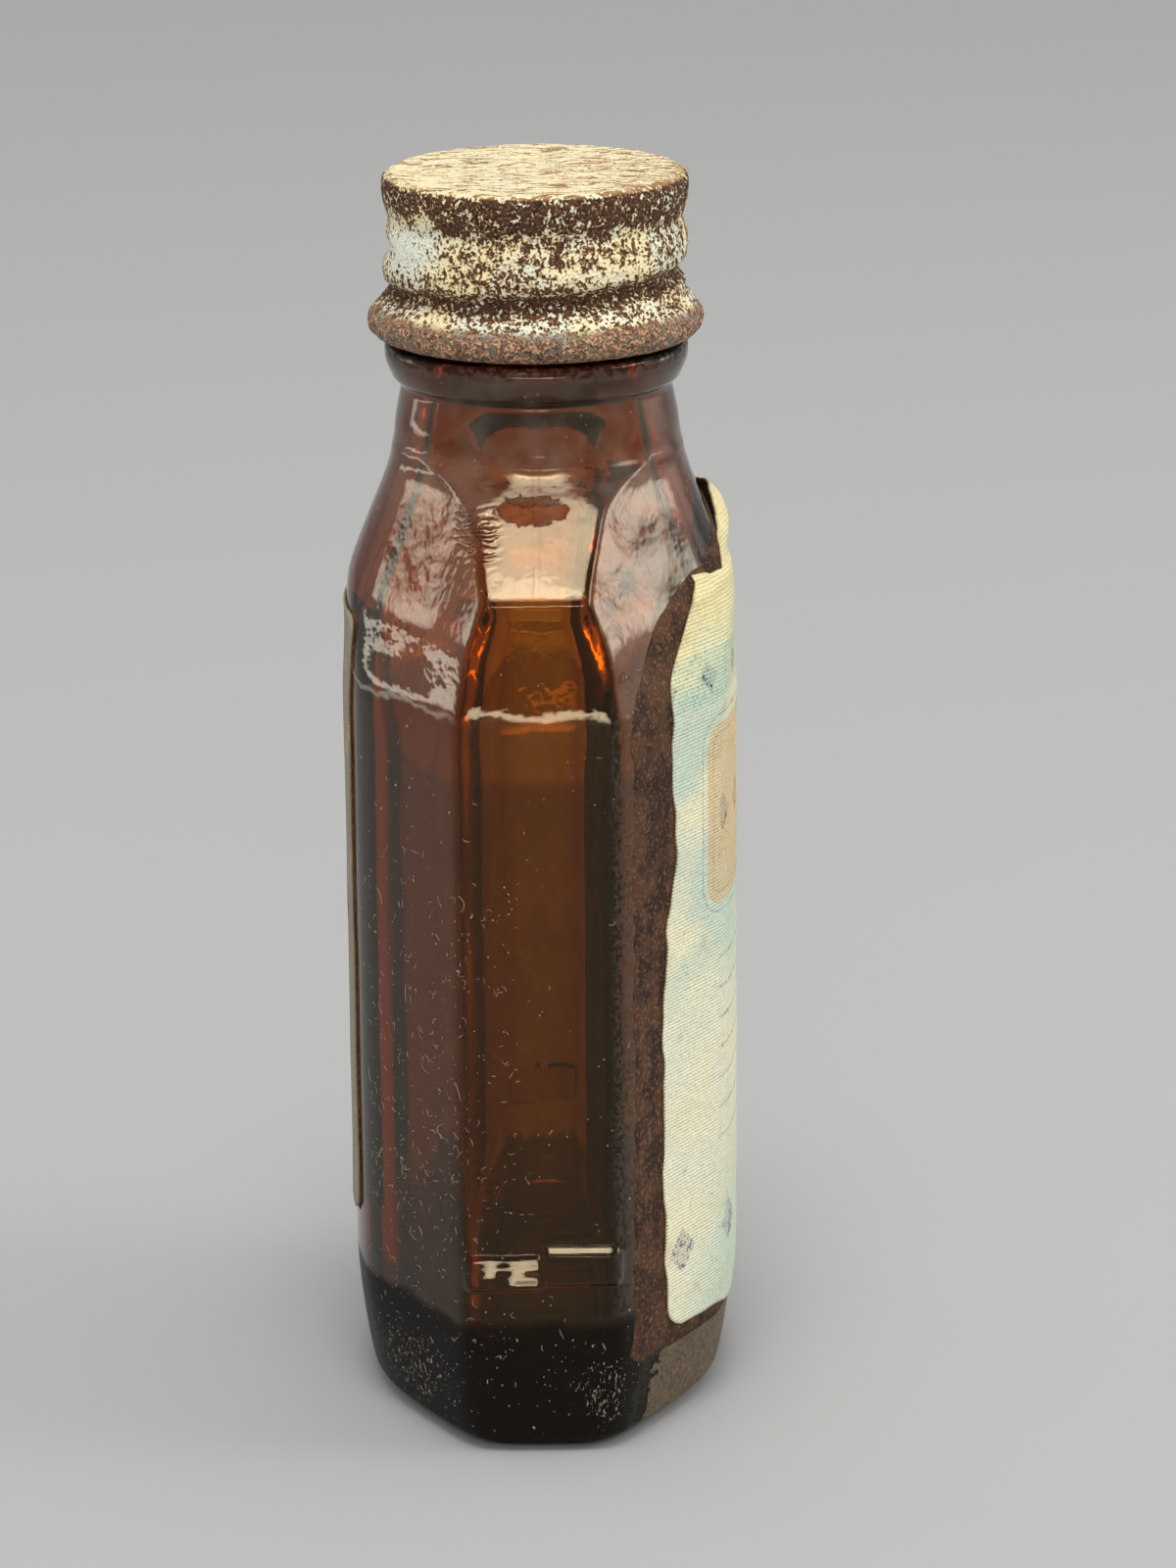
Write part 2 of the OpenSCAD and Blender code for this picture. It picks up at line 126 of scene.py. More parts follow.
# Screw finish
BEAD_R = 10.4
BEAD_TOP_Z = 74.8
ROOT_R = 8.75
THREAD_R = 9.75
LIP_Z = 85.0
LIP_R = 0.5
BORE_R = 6.7
PITCH = 3.175
THREAD_TURNS = 1.35
THREAD_FROM = math.radians(100)
THREAD_HALF_FOOT = 1.05
THREAD_FLANK = 0.65
THREAD_START_Z = LIP_Z - 1.2 - THREAD_TURNS * PITCH

# Label lug on both end faces
LUG_LEN = 11.2
LUG_W = 2.5
LUG_Z = 14.0
LUG_OUT = 0.56
LUG_BEVEL = 0.6
LUG_SHIFT = 0.4
LUG_END_R = 0.2
LUG_LEAN = 0.203
LUG_LEAN_FROM = -1.25
LUG_CRUMPLE = 0.03
LUG_PARTING = 0.14

# Mould seam down the middle of both end faces
SEAM_H = 0.03
SEAM_REACH = 0.22

# Thinner wall inside the bend of the end panels, which bends the light like a lens
LENS_T = 0.5
LENS_DROP = 0.4
LENS_REACH = 0.9


def lattice(i, j, k, seed):
    """A fixed value from 0 to 1 for each whole-number point: the fraction of a large sine."""
    h = np.sin(i * 12.9898 + j * 78.233 + k * 37.719 + seed * 4.581) * 43758.5453
    return h - np.floor(h)


def ripple(x, y, z, size, seed):
    """Smooth noise from -1 to 1, with bumps about size mm wide.

    Lattice values are blended by 3f^2 - 2f^3 in each direction. A direction given as 0 has no bumps.
    """
    total = 0.0
    cells, shares = [], []
    for value in (x, y, z):
        q = value / size
        cell = np.floor(q)
        f = q - cell
        cells.append(cell)
        shares.append(f * f * (3 - 2 * f))
    for corner in range(8):
        i, j, k = corner & 1, corner >> 1 & 1, corner >> 2 & 1
        weight = 1.0
        for step, share in zip((i, j, k), shares):
            weight = weight * (share if step else 1 - share)
        total = total + weight * lattice(cells[0] + i, cells[1] + j, cells[2] + k, seed)
    return 2 * total - 1


def soft_min(parts, k):
    """Soft minimum -k log(sum(exp(-part / k))), which rounds the lines where the parts meet."""
    stack = np.stack(np.broadcast_arrays(*parts))
    low = stack.min(axis=0)
    return low - k * np.log(np.exp(-(stack - low) / k).sum(axis=0))


def soft_max(parts, k):
    """Soft maximum, the mirror image of the soft minimum."""
    return -soft_min([-np.asarray(part, float) for part in parts], k)


def smooth_step(value, low, high):
    """0 below low, 1 above high, and 3t^2 - 2t^3 between."""
    t = np.clip((value - low) / (high - low), 0, 1)
    return t * t * (3 - 2 * t)


def bell(t):
    """Bell curve exp(-t^2)."""
    return np.exp(-t ** 2)


def outline(theta, end, chamfer, broad, side, k):
    """Distance from the axis to the body's outline at angle theta.

    It is the soft minimum of the end planes end / |cos|, the chamfer planes chamfer / cos(t - angle),
    the broad faces' arcs about a hub behind the axis, and the round sides, which only reach from
    their crease round to the broad faces.
    """
    c, s = np.abs(np.cos(theta)), np.abs(np.sin(theta))
    t = np.arctan2(s, c)
    hub = CROWN_R - HALF_DEPTH
    arc = CROWN_R - HALF_DEPTH + broad
    to_end = end / np.maximum(c, 0.05)
    to_chamfer = chamfer / np.maximum(np.cos(t - CHAMFER_ANGLE), 0.05)
    to_broad = np.sqrt(arc ** 2 - (hub * c) ** 2) - hub * s
    to_side = side * (1 + 10 * np.maximum(0, SIDE_FROM - t) ** 2)
    return soft_min([to_end, to_chamfer, to_broad, to_side], k)


def heel_draw(z):
    """How far the walls stand back at height z: an ease-out curve above the heel edge, a turn below."""
    up = np.clip((z - HEEL_EDGE_Z) / (HEEL_TOP_Z - HEEL_EDGE_Z), 0, 1)
    under = np.clip((HEEL_EDGE_Z - z) / HEEL_EDGE_Z, 0, 1)
    return HEEL_DRAW * (1 - up) ** 1.8 + HEEL_TURN * under ** 1.6


def end_wall(theta, h):
    """Distance from the axis to the plane of the end wall at height h: the least of four lines.

    They are the upright body, a slow lean under the shoulder, the panel's lean, and the facet that
    runs from the bend to the foot of the neck. A parabola crowns the facet, and a ripple waves it.
    """
    lean = HALF_BREADTH - (h - BODY_H + END_LEAN_ROOM) * END_LEAN_SLOPE
    panel = HALF_BREADTH - PANEL_DRAW * (h - BODY_H - PANEL_RISE) / (PANEL_TOP_Z - BODY_H - PANEL_RISE)
    facet_slope = (HALF_BREADTH - PANEL_DRAW - NECK_FOOT_R) / (NECK_FOOT_Z - PANEL_TOP_Z)
    share = np.clip((h - PANEL_TOP_Z) / (NECK_FOOT_Z - PANEL_TOP_Z), 0, 1)
    facet = NECK_FOOT_R + (NECK_FOOT_Z - h) * facet_slope + FACET_CROWN * 4 * share * (1 - share)
    above_bend = smooth_step(h, PANEL_TOP_Z + 0.5, PANEL_TOP_Z + 2)
    facet = facet + FACET_WAVE * above_bend * ripple(h, 10 * np.sin(theta), 0, 2.4, 93)
    return soft_min([HALF_BREADTH, lean, panel, facet], END_BEND)


def chamfer_wall(theta, h):
    """Distance from the axis to the plane of the chamfers at height h.

    It is the upright body, a line that leans in from the ridge and a steeper one from the break. A
    ripple, other at each corner, folds it above the ridge.
    """
    start = CHAMFER_D - (h - RIDGE_Z) * RIDGE_SLOPE
    steep = CHAMFER_D - (BREAK_Z - RIDGE_Z) * RIDGE_SLOPE - (h - BREAK_Z) * BREAK_SLOPE
    chamfer = soft_min([soft_min([CHAMFER_D, start], RIDGE_BEND), steep], BREAK_BEND)
    corner = 2 * (np.cos(theta) > 0) + (np.sin(theta) > 0)
    folds = ripple(h, 0.4 * CHAMFER_D * np.sin(2 * theta), 9.0 * corner, 2.8, 91)
    return chamfer + FOLD_DEPTH * smooth_step(h, RIDGE_Z, RIDGE_Z + 3) * folds


def shoulder_form(theta, z, grow, drop, k):
    """Outline of the body and shoulder at height z, grown evenly by grow and lowered by drop.

    The soft maximum of each wall's distance and the neck's line gives the hollow curve at the foot of
    the neck. A steep dome about the neck's foot trims the corners of the walls.
    """
    h = z + drop
    draw = heel_draw(z) * (drop == 0)
    above = np.maximum(h - NECK_FOOT_Z, 0) / (BEAD_Z - NECK_FOOT_Z)
    neck = NECK_FOOT_R - (NECK_FOOT_R - NECK_R) * above
    side_wall = soft_min([SIDE_R, SIDE_R - (h - BODY_H) * SIDE_SLOPE], SIDE_BEND)
    dome_wall = NECK_FOOT_R + (NECK_FOOT_Z - h) * DOME_SLOPE
    end, chamfer, side, dome = [soft_max([wall, neck], NECK_HOLLOW) for wall in (
        end_wall(theta, h), chamfer_wall(theta, h), side_wall, dome_wall)]
    walls = outline(theta, end - draw + grow, chamfer - draw + grow,
                    HALF_DEPTH - draw + grow, side + grow, k)
    return soft_min([walls, dome + grow], k)


def crease_softness(z):
    """Softness of the creases: worn round on the body, a little crisper near the neck."""
    return np.interp(z, [0, 3, 9, 52, 58, 66, 69], [0.9, 0.6, 0.3, 0.26, 0.2, 0.12, 0.03])


def lug_height(y, z):
    """Height of the label lug: two pillows that part at the mould seam, one a little higher.

    Each rises over LUG_BEVEL from its outline to a flat face. The one on the +Y side leans back
    towards its upper edge, and its face is crumpled.
    """
    left = y > 0
    middle = LUG_Z - np.where(left, 0.5, -0.5) * LUG_SHIFT
    half_width = LUG_W / 2 + 0.3
    edge = soft_min([half_width - np.abs(z - middle), LUG_LEN / 2 - np.abs(y)], LUG_END_R)
    lean = np.where(left, LUG_LEAN * np.maximum(z - middle - LUG_LEAN_FROM, 0), 0.02 * (z - middle))
    crumple = np.where(left, LUG_CRUMPLE, 0.004) * ripple(y, 1.6 * z, 0, 0.9, 51)
    parting = 1 - 0.8 * bell(y / LUG_PARTING)
    return (LUG_OUT - lean + crumple) * smooth_step(edge, 0.0, LUG_BEVEL) * parting


def glass_wave(x, y, z):
    """Slow unevenness of pressed glass, always inwards: two ripples, stronger on the shoulder."""
    shoulder = smooth_step(z, 50, 56) * smooth_step(z, 70, 67)
    slow = ripple(x, y, z, 6.0, 3) - 1
    quick = ripple(x, y, z, 3.4, 8) - 1
    return (0.02 + 0.11 * shoulder) * slow + (0.003 + 0.05 * shoulder) * quick


def outer_radius(theta, z):
    """Distance from the axis to the outside of the glass between the heel and the bead.

    The outline, its slow waves, the lugs on the two ends and the thin line of the mould seam add up.
    """
    r = shoulder_form(theta, z, 0.0, 0, crease_softness(z))
    x, y = r * np.cos(theta), r * np.sin(theta)
    on_end = smooth_step(np.abs(x), HALF_BREADTH - 1.4, HALF_BREADTH - 0.6)
    seam = SEAM_H * bell(y / SEAM_REACH) * smooth_step(np.abs(x), 8, 10)
    return r + glass_wave(x, y, z) + on_end * lug_height(y, z) + seam


def inner_radius(theta, z):
    """Distance from the axis to the inside wall.

    It is the outline less the wall, no tighter than the bore, with more wave than the outside. The
    wall is thinner inside the bend of the end panels, by a bell curve in z.
    """
    r = shoulder_form(theta, z, -WALL, INNER_DROP, np.interp(z, [48, 58], [1.1, 0.5]))
    r = soft_max([r, BORE_R], 0.25)
    x, y = r * np.cos(theta), r * np.sin(theta)
    wave = 0.09 * ripple(x, y, z, 7, 21) + 0.035 * ripple(x, y, z, 2.8, 5)
    at_bend = bell((z - PANEL_TOP_Z + LENS_DROP) / LENS_REACH)
    on_end = smooth_step(np.abs(np.cos(theta)), 0.86, 0.99)
    return r + wave * smooth_step(z, 72, 69) + LENS_T * at_bend * on_end


def round_corner(before, at, after, r, step):
    """Points of an arc of radius r that touches the two straight runs which meet at a corner."""
    u, w = before - at, after - at
    room = 0.49 * min(np.hypot(*u), np.hypot(*w))
    u, w = u / np.hypot(*u), w / np.hypot(*w)
    half = math.acos(np.clip(u @ w, -1, 1)) / 2
    reach = min(r / math.tan(half), room)
    bend = reach * math.tan(half)
    middle = (u + w) / np.hypot(*(u + w))
    centre = at + middle * bend / math.sin(half)
    swing = math.pi - 2 * half
    side = -1 if u[0] * w[1] - u[1] * w[0] > 0 else 1
    angles = side * np.linspace(0, swing, max(3, int(swing * bend / step)))
    start = at + u * reach - centre
    turned = np.stack([start[0] * np.cos(angles) - start[1] * np.sin(angles),
                       start[0] * np.sin(angles) + start[1] * np.cos(angles)], axis=1)
    return centre + turned


def profile(points, step):
    """Path through points [r, z, corner radius], with round corners and a point every step mm."""
    flat = np.array([p[:2] for p in points], float)
    path = [flat[:1]]
    for i in range(1, len(points) - 1):
        if points[i][2] > 0:
            path.append(round_corner(flat[i - 1], flat[i], flat[i + 1], points[i][2], step / 2))
        else:
            path.append(flat[i:i + 1])
    path.append(flat[-1:])
    path = np.concatenate(path)
    filled = [path[:1]]
    for a, b in zip(path[:-1], path[1:]):
        count = max(1, int(np.hypot(*(b - a)) / step))
        filled.append(a + (b - a) * (np.arange(1, count + 1) / count)[:, None])
    return np.concatenate(filled)


def new_object(name, points, faces, material, body):
    """A mesh from points in mm and a list of faces, with smooth shading, riding on a body."""
    mesh = bpy.data.meshes.new(name)
    mesh.from_pydata((np.asarray(points, float) * MM).tolist(), [], faces)
    mesh.polygons.foreach_set("use_smooth", [True] * len(mesh.polygons))
    mesh.materials.append(material)
    mesh.update()
    piece = bpy.data.objects.new(name, mesh)
    bpy.context.scene.collection.objects.link(piece)
    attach(piece, body)
    return piece


def point_attribute(piece, name, values):
    """One number for each point of the mesh, which a material can read."""
    attribute = piece.data.attributes.new(name, "FLOAT", "POINT")
    attribute.data.foreach_set("value", np.asarray(values, np.float32))


def revolved(name, rings, start, end, material, body):
    """Closed mesh from rings of points (rows, columns, 3), with a point that closes each end.

    The path runs with the solid on its left, so that the faces look outwards.
    """
    rows, columns = rings.shape[:2]
    points = np.concatenate([rings.reshape(-1, 3), [start, end]])
    i, j = np.meshgrid(np.arange(rows - 1), np.arange(columns), indexing="ij")
    k = (j + 1) % columns
    quads = np.stack([i * columns + j, i * columns + k, (i + 1) * columns + k, (i + 1) * columns + j],
                     axis=-1).reshape(-1, 4)
    first, last = rows * columns, rows * columns + 1
    around = np.arange(columns)
    ahead = (around + 1) % columns
    low = np.stack([np.full(columns, first), ahead, around], axis=1)
    top = (rows - 1) * columns
    high = np.stack([np.full(columns, last), top + around, top + ahead], axis=1)
    faces = quads.tolist() + low.tolist() + high.tolist()
    return new_object(name, points, faces, material, body)


def srgb(r, g, b):
    """A screen colour from 0 to 255 as the linear RGBA that the nodes take."""
    values = [v / 255 for v in (r, g, b)]
    return (*[v / 12.92 if v <= 0.04045 else ((v + 0.055) / 1.055) ** 2.4 for v in values], 1)


class Nodes:
    """Short calls that add nodes to a tree."""

    def __init__(self, tree):
        self.tree = tree

    def node(self, kind, inputs=None, **settings):
        made = self.tree.nodes.new(kind)
        for key, value in settings.items():
            setattr(made, key, value)
        for key, value in (inputs or {}).items():
            if isinstance(value, bpy.types.NodeSocket):
                self.tree.links.new(value, made.inputs[key])
            else:
                made.inputs[key].default_value = value
        return made

    def math(self, operation, *values):
        return self.node("ShaderNodeMath", dict(enumerate(values)), operation=operation).outputs[0]

    def chain(self, operation, values):
        """The values joined one after another by one operation."""
        total = values[0]
        for value in values[1:]:
            total = self.math(operation, total, value)
        return total

    def add(self, *values):
        return self.chain("ADD", values)

    def times(self, *values):
        return self.chain("MULTIPLY", values)

    def most(self, *values):
        return self.chain("MAXIMUM", values)

    def minus(self, a, b):
        return self.math("SUBTRACT", a, b)

    def less(self, value):
        """1 less the value."""
        return self.minus(1.0, value)

    def absolute(self, value):
        return self.math("ABSOLUTE", value)


class Finish(Nodes):
    """One material, with short calls for what its pattern needs. Lengths are in mm."""

    def __init__(self, name):
        self.material = bpy.data.materials.new(name)
        self.material.use_nodes = True
        super().__init__(self.material.node_tree)
        self.tree.nodes.clear()
        self.output = self.node("ShaderNodeOutputMaterial")
        place = self.node("ShaderNodeTexCoord").outputs["Object"]
        self.place = self.vector("SCALE", place, Scale=1 / MM)
        self.x, self.y, self.z = self.node("ShaderNodeSeparateXYZ", {0: self.place}).outputs

    def vector(self, operation, *values, **named):
        inputs = {**dict(enumerate(values)), **named}
        return self.node("ShaderNodeVectorMath", inputs, operation=operation).outputs[0]

    def point(self, x, y):
        return self.node("ShaderNodeCombineXYZ", {0: x, 1: y, 2: 0.0}).outputs[0]

    def length(self, vector):
        return self.node("ShaderNodeVectorMath", {0: vector}, operation="LENGTH").outputs["Value"]

    def from_axis(self):
        """Distance from the bottle's axis."""
        return self.length(self.vector("MULTIPLY", self.place, (1, 1, 0)))

    def step(self, value, low, high, to_low=0.0, to_high=1.0):
        """Smooth change from to_low to to_high while value goes from low to high."""
        made = self.node("ShaderNodeMapRange", {0: value, 1: low, 2: high, 3: to_low, 4: to_high},
                         interpolation_type="SMOOTHSTEP")
        return made.outputs[0]

    def near(self, value, centre, reach):
        """1 where value is at centre, falling smoothly to 0 at reach on either side."""
        return self.step(self.absolute(self.minus(value, centre)), reach, 0.0)

    def within(self, value, low, high, soft=0.05):
        """1 where value lies between low and high, with a soft change at both."""
        rise = self.step(value, low - soft, low + soft)
        return self.times(rise, self.step(value, high + soft, high - soft))

    def noise(self, size, detail=2.0, stretch=None, shift=0.0, roughness=0.5, place=None):
        """Noise from 0 to 1 with blobs about size mm wide."""
        place = place or self.place
        if stretch:
            place = self.vector("MULTIPLY", place, stretch)
        if shift:
            place = self.vector("ADD", place, (shift, 1.7 * shift, 0.6 * shift))
        inputs = {"Vector": place, "Scale": 1 / size, "Detail": detail, "Roughness": roughness}
        return self.node("ShaderNodeTexNoise", inputs).outputs["Fac"]

    def specks(self, cell, size, crowd, shift=0.0):
        """Dots of about size mm, at most one to each cell of the given width, as many as crowd says."""
        place = self.vector("ADD", self.place, (shift, 0.0, 0.7 * shift))
        inputs = {"Vector": place, "Scale": 1 / cell, "Randomness": 1.0}
        made = self.node("ShaderNodeTexVoronoi", inputs)
        chance = self.node("ShaderNodeSeparateColor", {0: made.outputs["Color"]}).outputs[0]
        ragged = self.times(made.outputs["Distance"], self.step(self.noise(0.1, 1), 0.3, 0.7, 0.6, 1.5))
        dot = self.step(ragged, size / cell, 0.6 * size / cell)
        return self.times(dot, self.math("LESS_THAN", chance, crowd))

    def mix(self, share, a, b):
        return self.node("ShaderNodeMix", {0: share, 6: a, 7: b}, data_type="RGBA").outputs[2]

    def attribute(self, name):
        return self.node("ShaderNodeAttribute", attribute_name=name).outputs["Fac"]

    def bump(self, height, depth_mm, strength=1.0):
        inputs = {"Strength": strength, "Distance": depth_mm * MM, "Height": height}
        return self.node("ShaderNodeBump", inputs).outputs["Normal"]

    def surface(self, **inputs):
        """The main shader. Names have underlines for the spaces in its sockets' names."""
        named = {key.replace("_", " "): value for key, value in inputs.items()}
        return self.node("ShaderNodeBsdfPrincipled", named).outputs[0]

    def show(self, shader, volume=None):
        self.tree.links.new(shader, self.output.inputs["Surface"])
        if volume:
            self.tree.links.new(volume, self.output.inputs["Volume"])
        return self.material


# Amber glass: what one metre of it takes out of red, green and blue light
ABSORPTION = (290.0, 700.0, 2000.0)
GLASS_IOR = 1.5
FILL_LINE_Z = 48.5
# Painted shade at the foot: how high the dark cover reaches, and how much of the surface it takes
FOOT_SHADE_Z = 10.2
FOOT_SHADE_SHARE = 0.72
# Height of a painted highlight: a pale line along the ridge of the chamfers and broad faces
RIDGE_HIGHLIGHT_Z = 53.6
RING_SPACING = 0.5
FLAT_SPOT = (0.3, 65.6)
FLAT_SPOT_HALF_W = 2.5
FLAT_SPOT_TILT = -5.5


def chatter_marks(f):
    """Chill marks of the mould: curved ripples and a flat spot on the -X end, and soft waves all over.

    The ripples are a sine of the distance from a point low on the panel. The spot is a ragged oval
    on the facet that leans back.
    """
    middle = f.vector("SUBTRACT", f.place, (0.0, 2.0, 56.0))
    reach = f.add(f.length(f.vector("MULTIPLY", middle, (0, 1, 1))), f.times(f.noise(1.2, 2), 0.9))
    rings = f.math("SINE", f.times(reach, TURN / RING_SPACING))
    where = f.times(f.near(f.y, 3.9, 2.0), f.near(f.z, 64.2, 2.4))
    shoulder = f.times(f.step(f.z, 52.0, 55.0), f.step(f.z, 71.0, 68.0))
    soft = f.times(f.noise(1.4, 2, shift=5), f.add(f.times(shoulder, 0.9), 0.1))
    across, up = f.minus(f.y, FLAT_SPOT[0]), f.minus(f.z, FLAT_SPOT[1])
    oval = f.length(f.point(f.times(across, 1 / FLAT_SPOT_HALF_W), f.times(up, 1.2)))
    ragged = f.add(oval, f.noise(0.6, 4, shift=44, roughness=0.65))
    flat_spot = f.step(ragged, 1.5, 1.42)
    near_end = f.step(f.x, 0.0, -1.0)
    tilt = f.times(flat_spot, near_end, up, FLAT_SPOT_TILT)
    return f.bump(f.add(f.times(rings, where, near_end), soft, tilt), 0.04)


def amber_glass():
    """Clear amber glass with a dry film inside up to the fill line.

    Outside it carries dust in dots and strokes, scuffs, brown grime in patches, a dark band under
    the cap that is dirt and painted shade, painted shade at the foot, a painted highlight along the
    shoulder ridge, and a pale haze on the shoulder that is dust and painted sheen.
    """
    f = Finish("amber_glass")
    inner = f.attribute("inner")
    outer = f.less(inner)
    below = f.step(f.add(f.z, f.times(f.noise(6.0, 1), 1.6)), FILL_LINE_Z + 1.4, FILL_LINE_Z + 0.2)
    film = f.times(inner, below, f.step(f.noise(3.0, 3), 0.1, 0.8, 0.75, 1.0))
    tint = f.mix(film, (1, 1, 1, 1), (0.26, 0.205, 0.1, 1))
    # Painted shade: the inside of the neck is tinted grey-brown from just below the bead up, which
    # darkens the bead seen through it.
    tint = f.mix(f.times(inner, f.step(f.z, 69.5, 72.5)), tint, (0.3, 0.22, 0.16, 1))
    glass = f.surface(Base_Color=tint, Roughness=0.012, IOR=GLASS_IOR, Transmission_Weight=1.0,
                      Specular_Tint=(1.0, 0.8, 0.5, 1), Normal=chatter_marks(f))
    depth = max(ABSORPTION)
    volume = f.node("ShaderNodeVolumeAbsorption",
                    {"Color": (*[1 - a / depth for a in ABSORPTION], 1), "Density": depth})

    patches = f.noise(5.0, 3, shift=9)
    left_low = f.times(f.step(f.y, 0.0, 4.0), f.step(f.z, 46.0, 38.0))
    heel = f.step(f.z, 10.5, 8.5)
    crowd = f.add(f.step(patches, 0.42, 0.62, 0.12, 0.5), f.times(left_low, 0.4), f.times(heel, 0.5))
    dots = f.most(f.specks(0.6, 0.05, crowd), f.specks(1.4, 0.09, f.times(crowd, 0.7), shift=31))
    strokes = f.step(f.noise(0.13, 1, stretch=(1, 1, 0.28), shift=4), 0.735, 0.76)
    strokes = f.times(strokes, f.step(patches, 0.46, 0.56), f.add(left_low, heel))
    scuff_place = f.times(f.near(f.z, 4.5, 4.0), f.most(f.near(f.y, 9.0, 3.6), f.near(f.y, -4.0, 2.4)))
    scratches = f.noise(0.2, 4, stretch=(1, 1, 0.5), shift=2, roughness=0.65)
    scuff = f.times(scuff_place, f.step(scratches, 0.56, 0.7))

    slant = f.add(f.y, f.times(f.z, 0.25), f.times(f.noise(0.8, 3, shift=51), 2.2))
    right = f.step(slant, -3.7, -5.5)
    grime_edge = f.add(f.z, f.times(f.noise(2.5, 3), 2.0))
    grime = f.times(right, f.step(grime_edge, 9.5, 7.0), f.step(f.noise(0.3, 4, shift=7), 0.24, 0.5))
    band = f.times(f.near(f.y, -7.4, 2.9), f.step(f.noise(0.28, 4, shift=15), 0.44, 0.6))
    band = f.times(band, f.step(f.z, 56.0, 52.0), f.step(f.x, -15.0, -17.0))
    foot = f.times(f.step(f.z, 1.5, 0.7), f.step(f.noise(0.4, 3, shift=12), 0.3, 0.55))
    # Dust film and painted sheen: a pale diffuse veil on the shoulder up to the neck's foot, which also
    # lightens it where light would reflect.
    dust_haze_and_sheen = f.times(f.step(f.noise(2.4, 4, shift=27), 0.3, 0.7, 0.03, 0.13), f.step(f.z, 62.0, 67.5))
    # Painted highlight: a thin pale wavy line at that height, off the end faces, in the dust's pale
    # colour.
    wavy_z = f.add(f.z, f.times(f.noise(2.0, 2, shift=61), 1.6))
    painted_ridge_highlight = f.times(f.near(wavy_z, RIDGE_HIGHLIGHT_Z, 0.3), 0.45, f.step(f.absolute(f.y), 5.2, 6.4))
    # Dirt and painted shade: a patchy dark brown band on the bead under the cap.
    under_cap_dirt_and_shade = f.times(f.near(f.z, 75.0, 1.7), f.step(f.noise(0.5, 4, shift=29), 0.35, 0.6), 0.6)
    # These marks hold painted light as well as dust: the sheen in the haze, the ridge highlight and the
    # shade under the cap.
    marks = f.most(dots, dust_haze_and_sheen, painted_ridge_highlight, under_cap_dirt_and_shade, f.times(strokes, 0.8), f.times(scuff, 0.5),
                   f.times(grime, 0.92), f.times(band, 0.7), f.times(foot, 0.7))

    dust_shade_and_sheen_colour = f.mix(f.noise(0.9, 2, shift=3), srgb(150, 140, 124), srgb(200, 192, 178))
    dirt = f.mix(f.noise(0.32, 3, shift=13), srgb(52, 42, 32), srgb(140, 122, 98))
    # Painted shade: from the bead up, the brown dirt turns near black under the cap.
    dirt = f.mix(f.step(f.z, 70.0, 72.0), dirt, srgb(46, 38, 32))
    brown_place = f.most(grime, band, foot, under_cap_dirt_and_shade)
    dust_shade_and_sheen_colour = f.mix(f.step(brown_place, 0.05, 0.3), dust_shade_and_sheen_colour, dirt)
    # Painted shade: a near-black diffuse cover on the foot, up to a ragged line, darkens the base and
    # hides its reflections; dust dots still show through it.
    painted_foot_shade_edge = f.add(f.z, f.times(f.noise(3.0, 2, shift=14), 1.6))
    painted_foot_shade = f.times(f.step(painted_foot_shade_edge, FOOT_SHADE_Z + 1.0, FOOT_SHADE_Z), f.less(right))
    bare = f.step(f.most(dots, strokes, scuff), 0.3, 0.1)
    dust_shade_and_sheen_colour = f.mix(f.times(f.step(painted_foot_shade, 0.0, 0.1), bare), dust_shade_and_sheen_colour, srgb(12, 10, 9))
    dust_shade_and_sheen_share = f.most(f.times(outer, marks), f.times(painted_foot_shade, outer, FOOT_SHADE_SHARE))
    # The dust cover also carries the painted shade and highlight above, not only dust.
    dust = f.surface(Base_Color=dust_shade_and_sheen_colour, Roughness=0.9, Specular_IOR_Level=0.08,
                     Normal=f.bump(f.noise(0.3, 3, shift=13), 0.1))
    shader = f.node("ShaderNodeMixShader", {0: dust_shade_and_sheen_share, 1: glass, 2: dust}).outputs[0]
    return f.show(shader, volume.outputs[0])


GLASS_COLUMNS = 300
GLASS_ROWS_Z = np.concatenate([
    np.linspace(0.0, 1.6, 9)[:-1], np.linspace(1.6, 11.9, 12)[:-1],
    np.linspace(11.9, 16.2, 34)[:-1], np.linspace(16.2, 50.0, 20)[:-1],
    np.linspace(50.0, 70.5, 80)[:-1], np.linspace(70.5, BEAD_Z - 0.1, 5)])
CAVITY_ROWS_Z = np.concatenate([
    np.linspace(LIP_Z - 2.5, 72.0, 6), np.linspace(71.5, 49.0, 46),
    np.linspace(47.0, BASE_T + FLOOR_R, 14)])
FINISH_STEP = 0.32
FLOOR_DISH = 0.35


def glass_columns():
    """Angles round the bottle, closer together on the narrow ends, which the eye sees first."""
    even = np.linspace(0, TURN, 4001)
    density = 1 + 1.6 * np.abs(np.cos(even)) ** 6
    share = np.concatenate([[0], np.cumsum((density[1:] + density[:-1]) / 2)])
    share = share / share[-1]
    return np.interp(np.arange(GLASS_COLUMNS) / GLASS_COLUMNS, share, even)


def climbing(theta, z, start, turns, start_z, fade_share, shape):
    """Share of a ridge or valley that climbs one pitch a turn, and fades in and out at its ends.

    shape gives the share for the distance in z from its middle line. Each lap is worked out on its
    own, and the largest counts.
    """
    best = np.zeros(np.broadcast(theta, z).shape)
    for lap in range(-1, 3):
        turned = (theta - start) / TURN + lap
        along = turned / turns
        fade = smooth_step(along, 0, fade_share) * smooth_step(along, 1, 1 - fade_share)
        off = np.abs(z - (start_z + PITCH * turned))
        best = np.maximum(best, shape(off) * fade * (along > 0) * (along < 1))
    return best


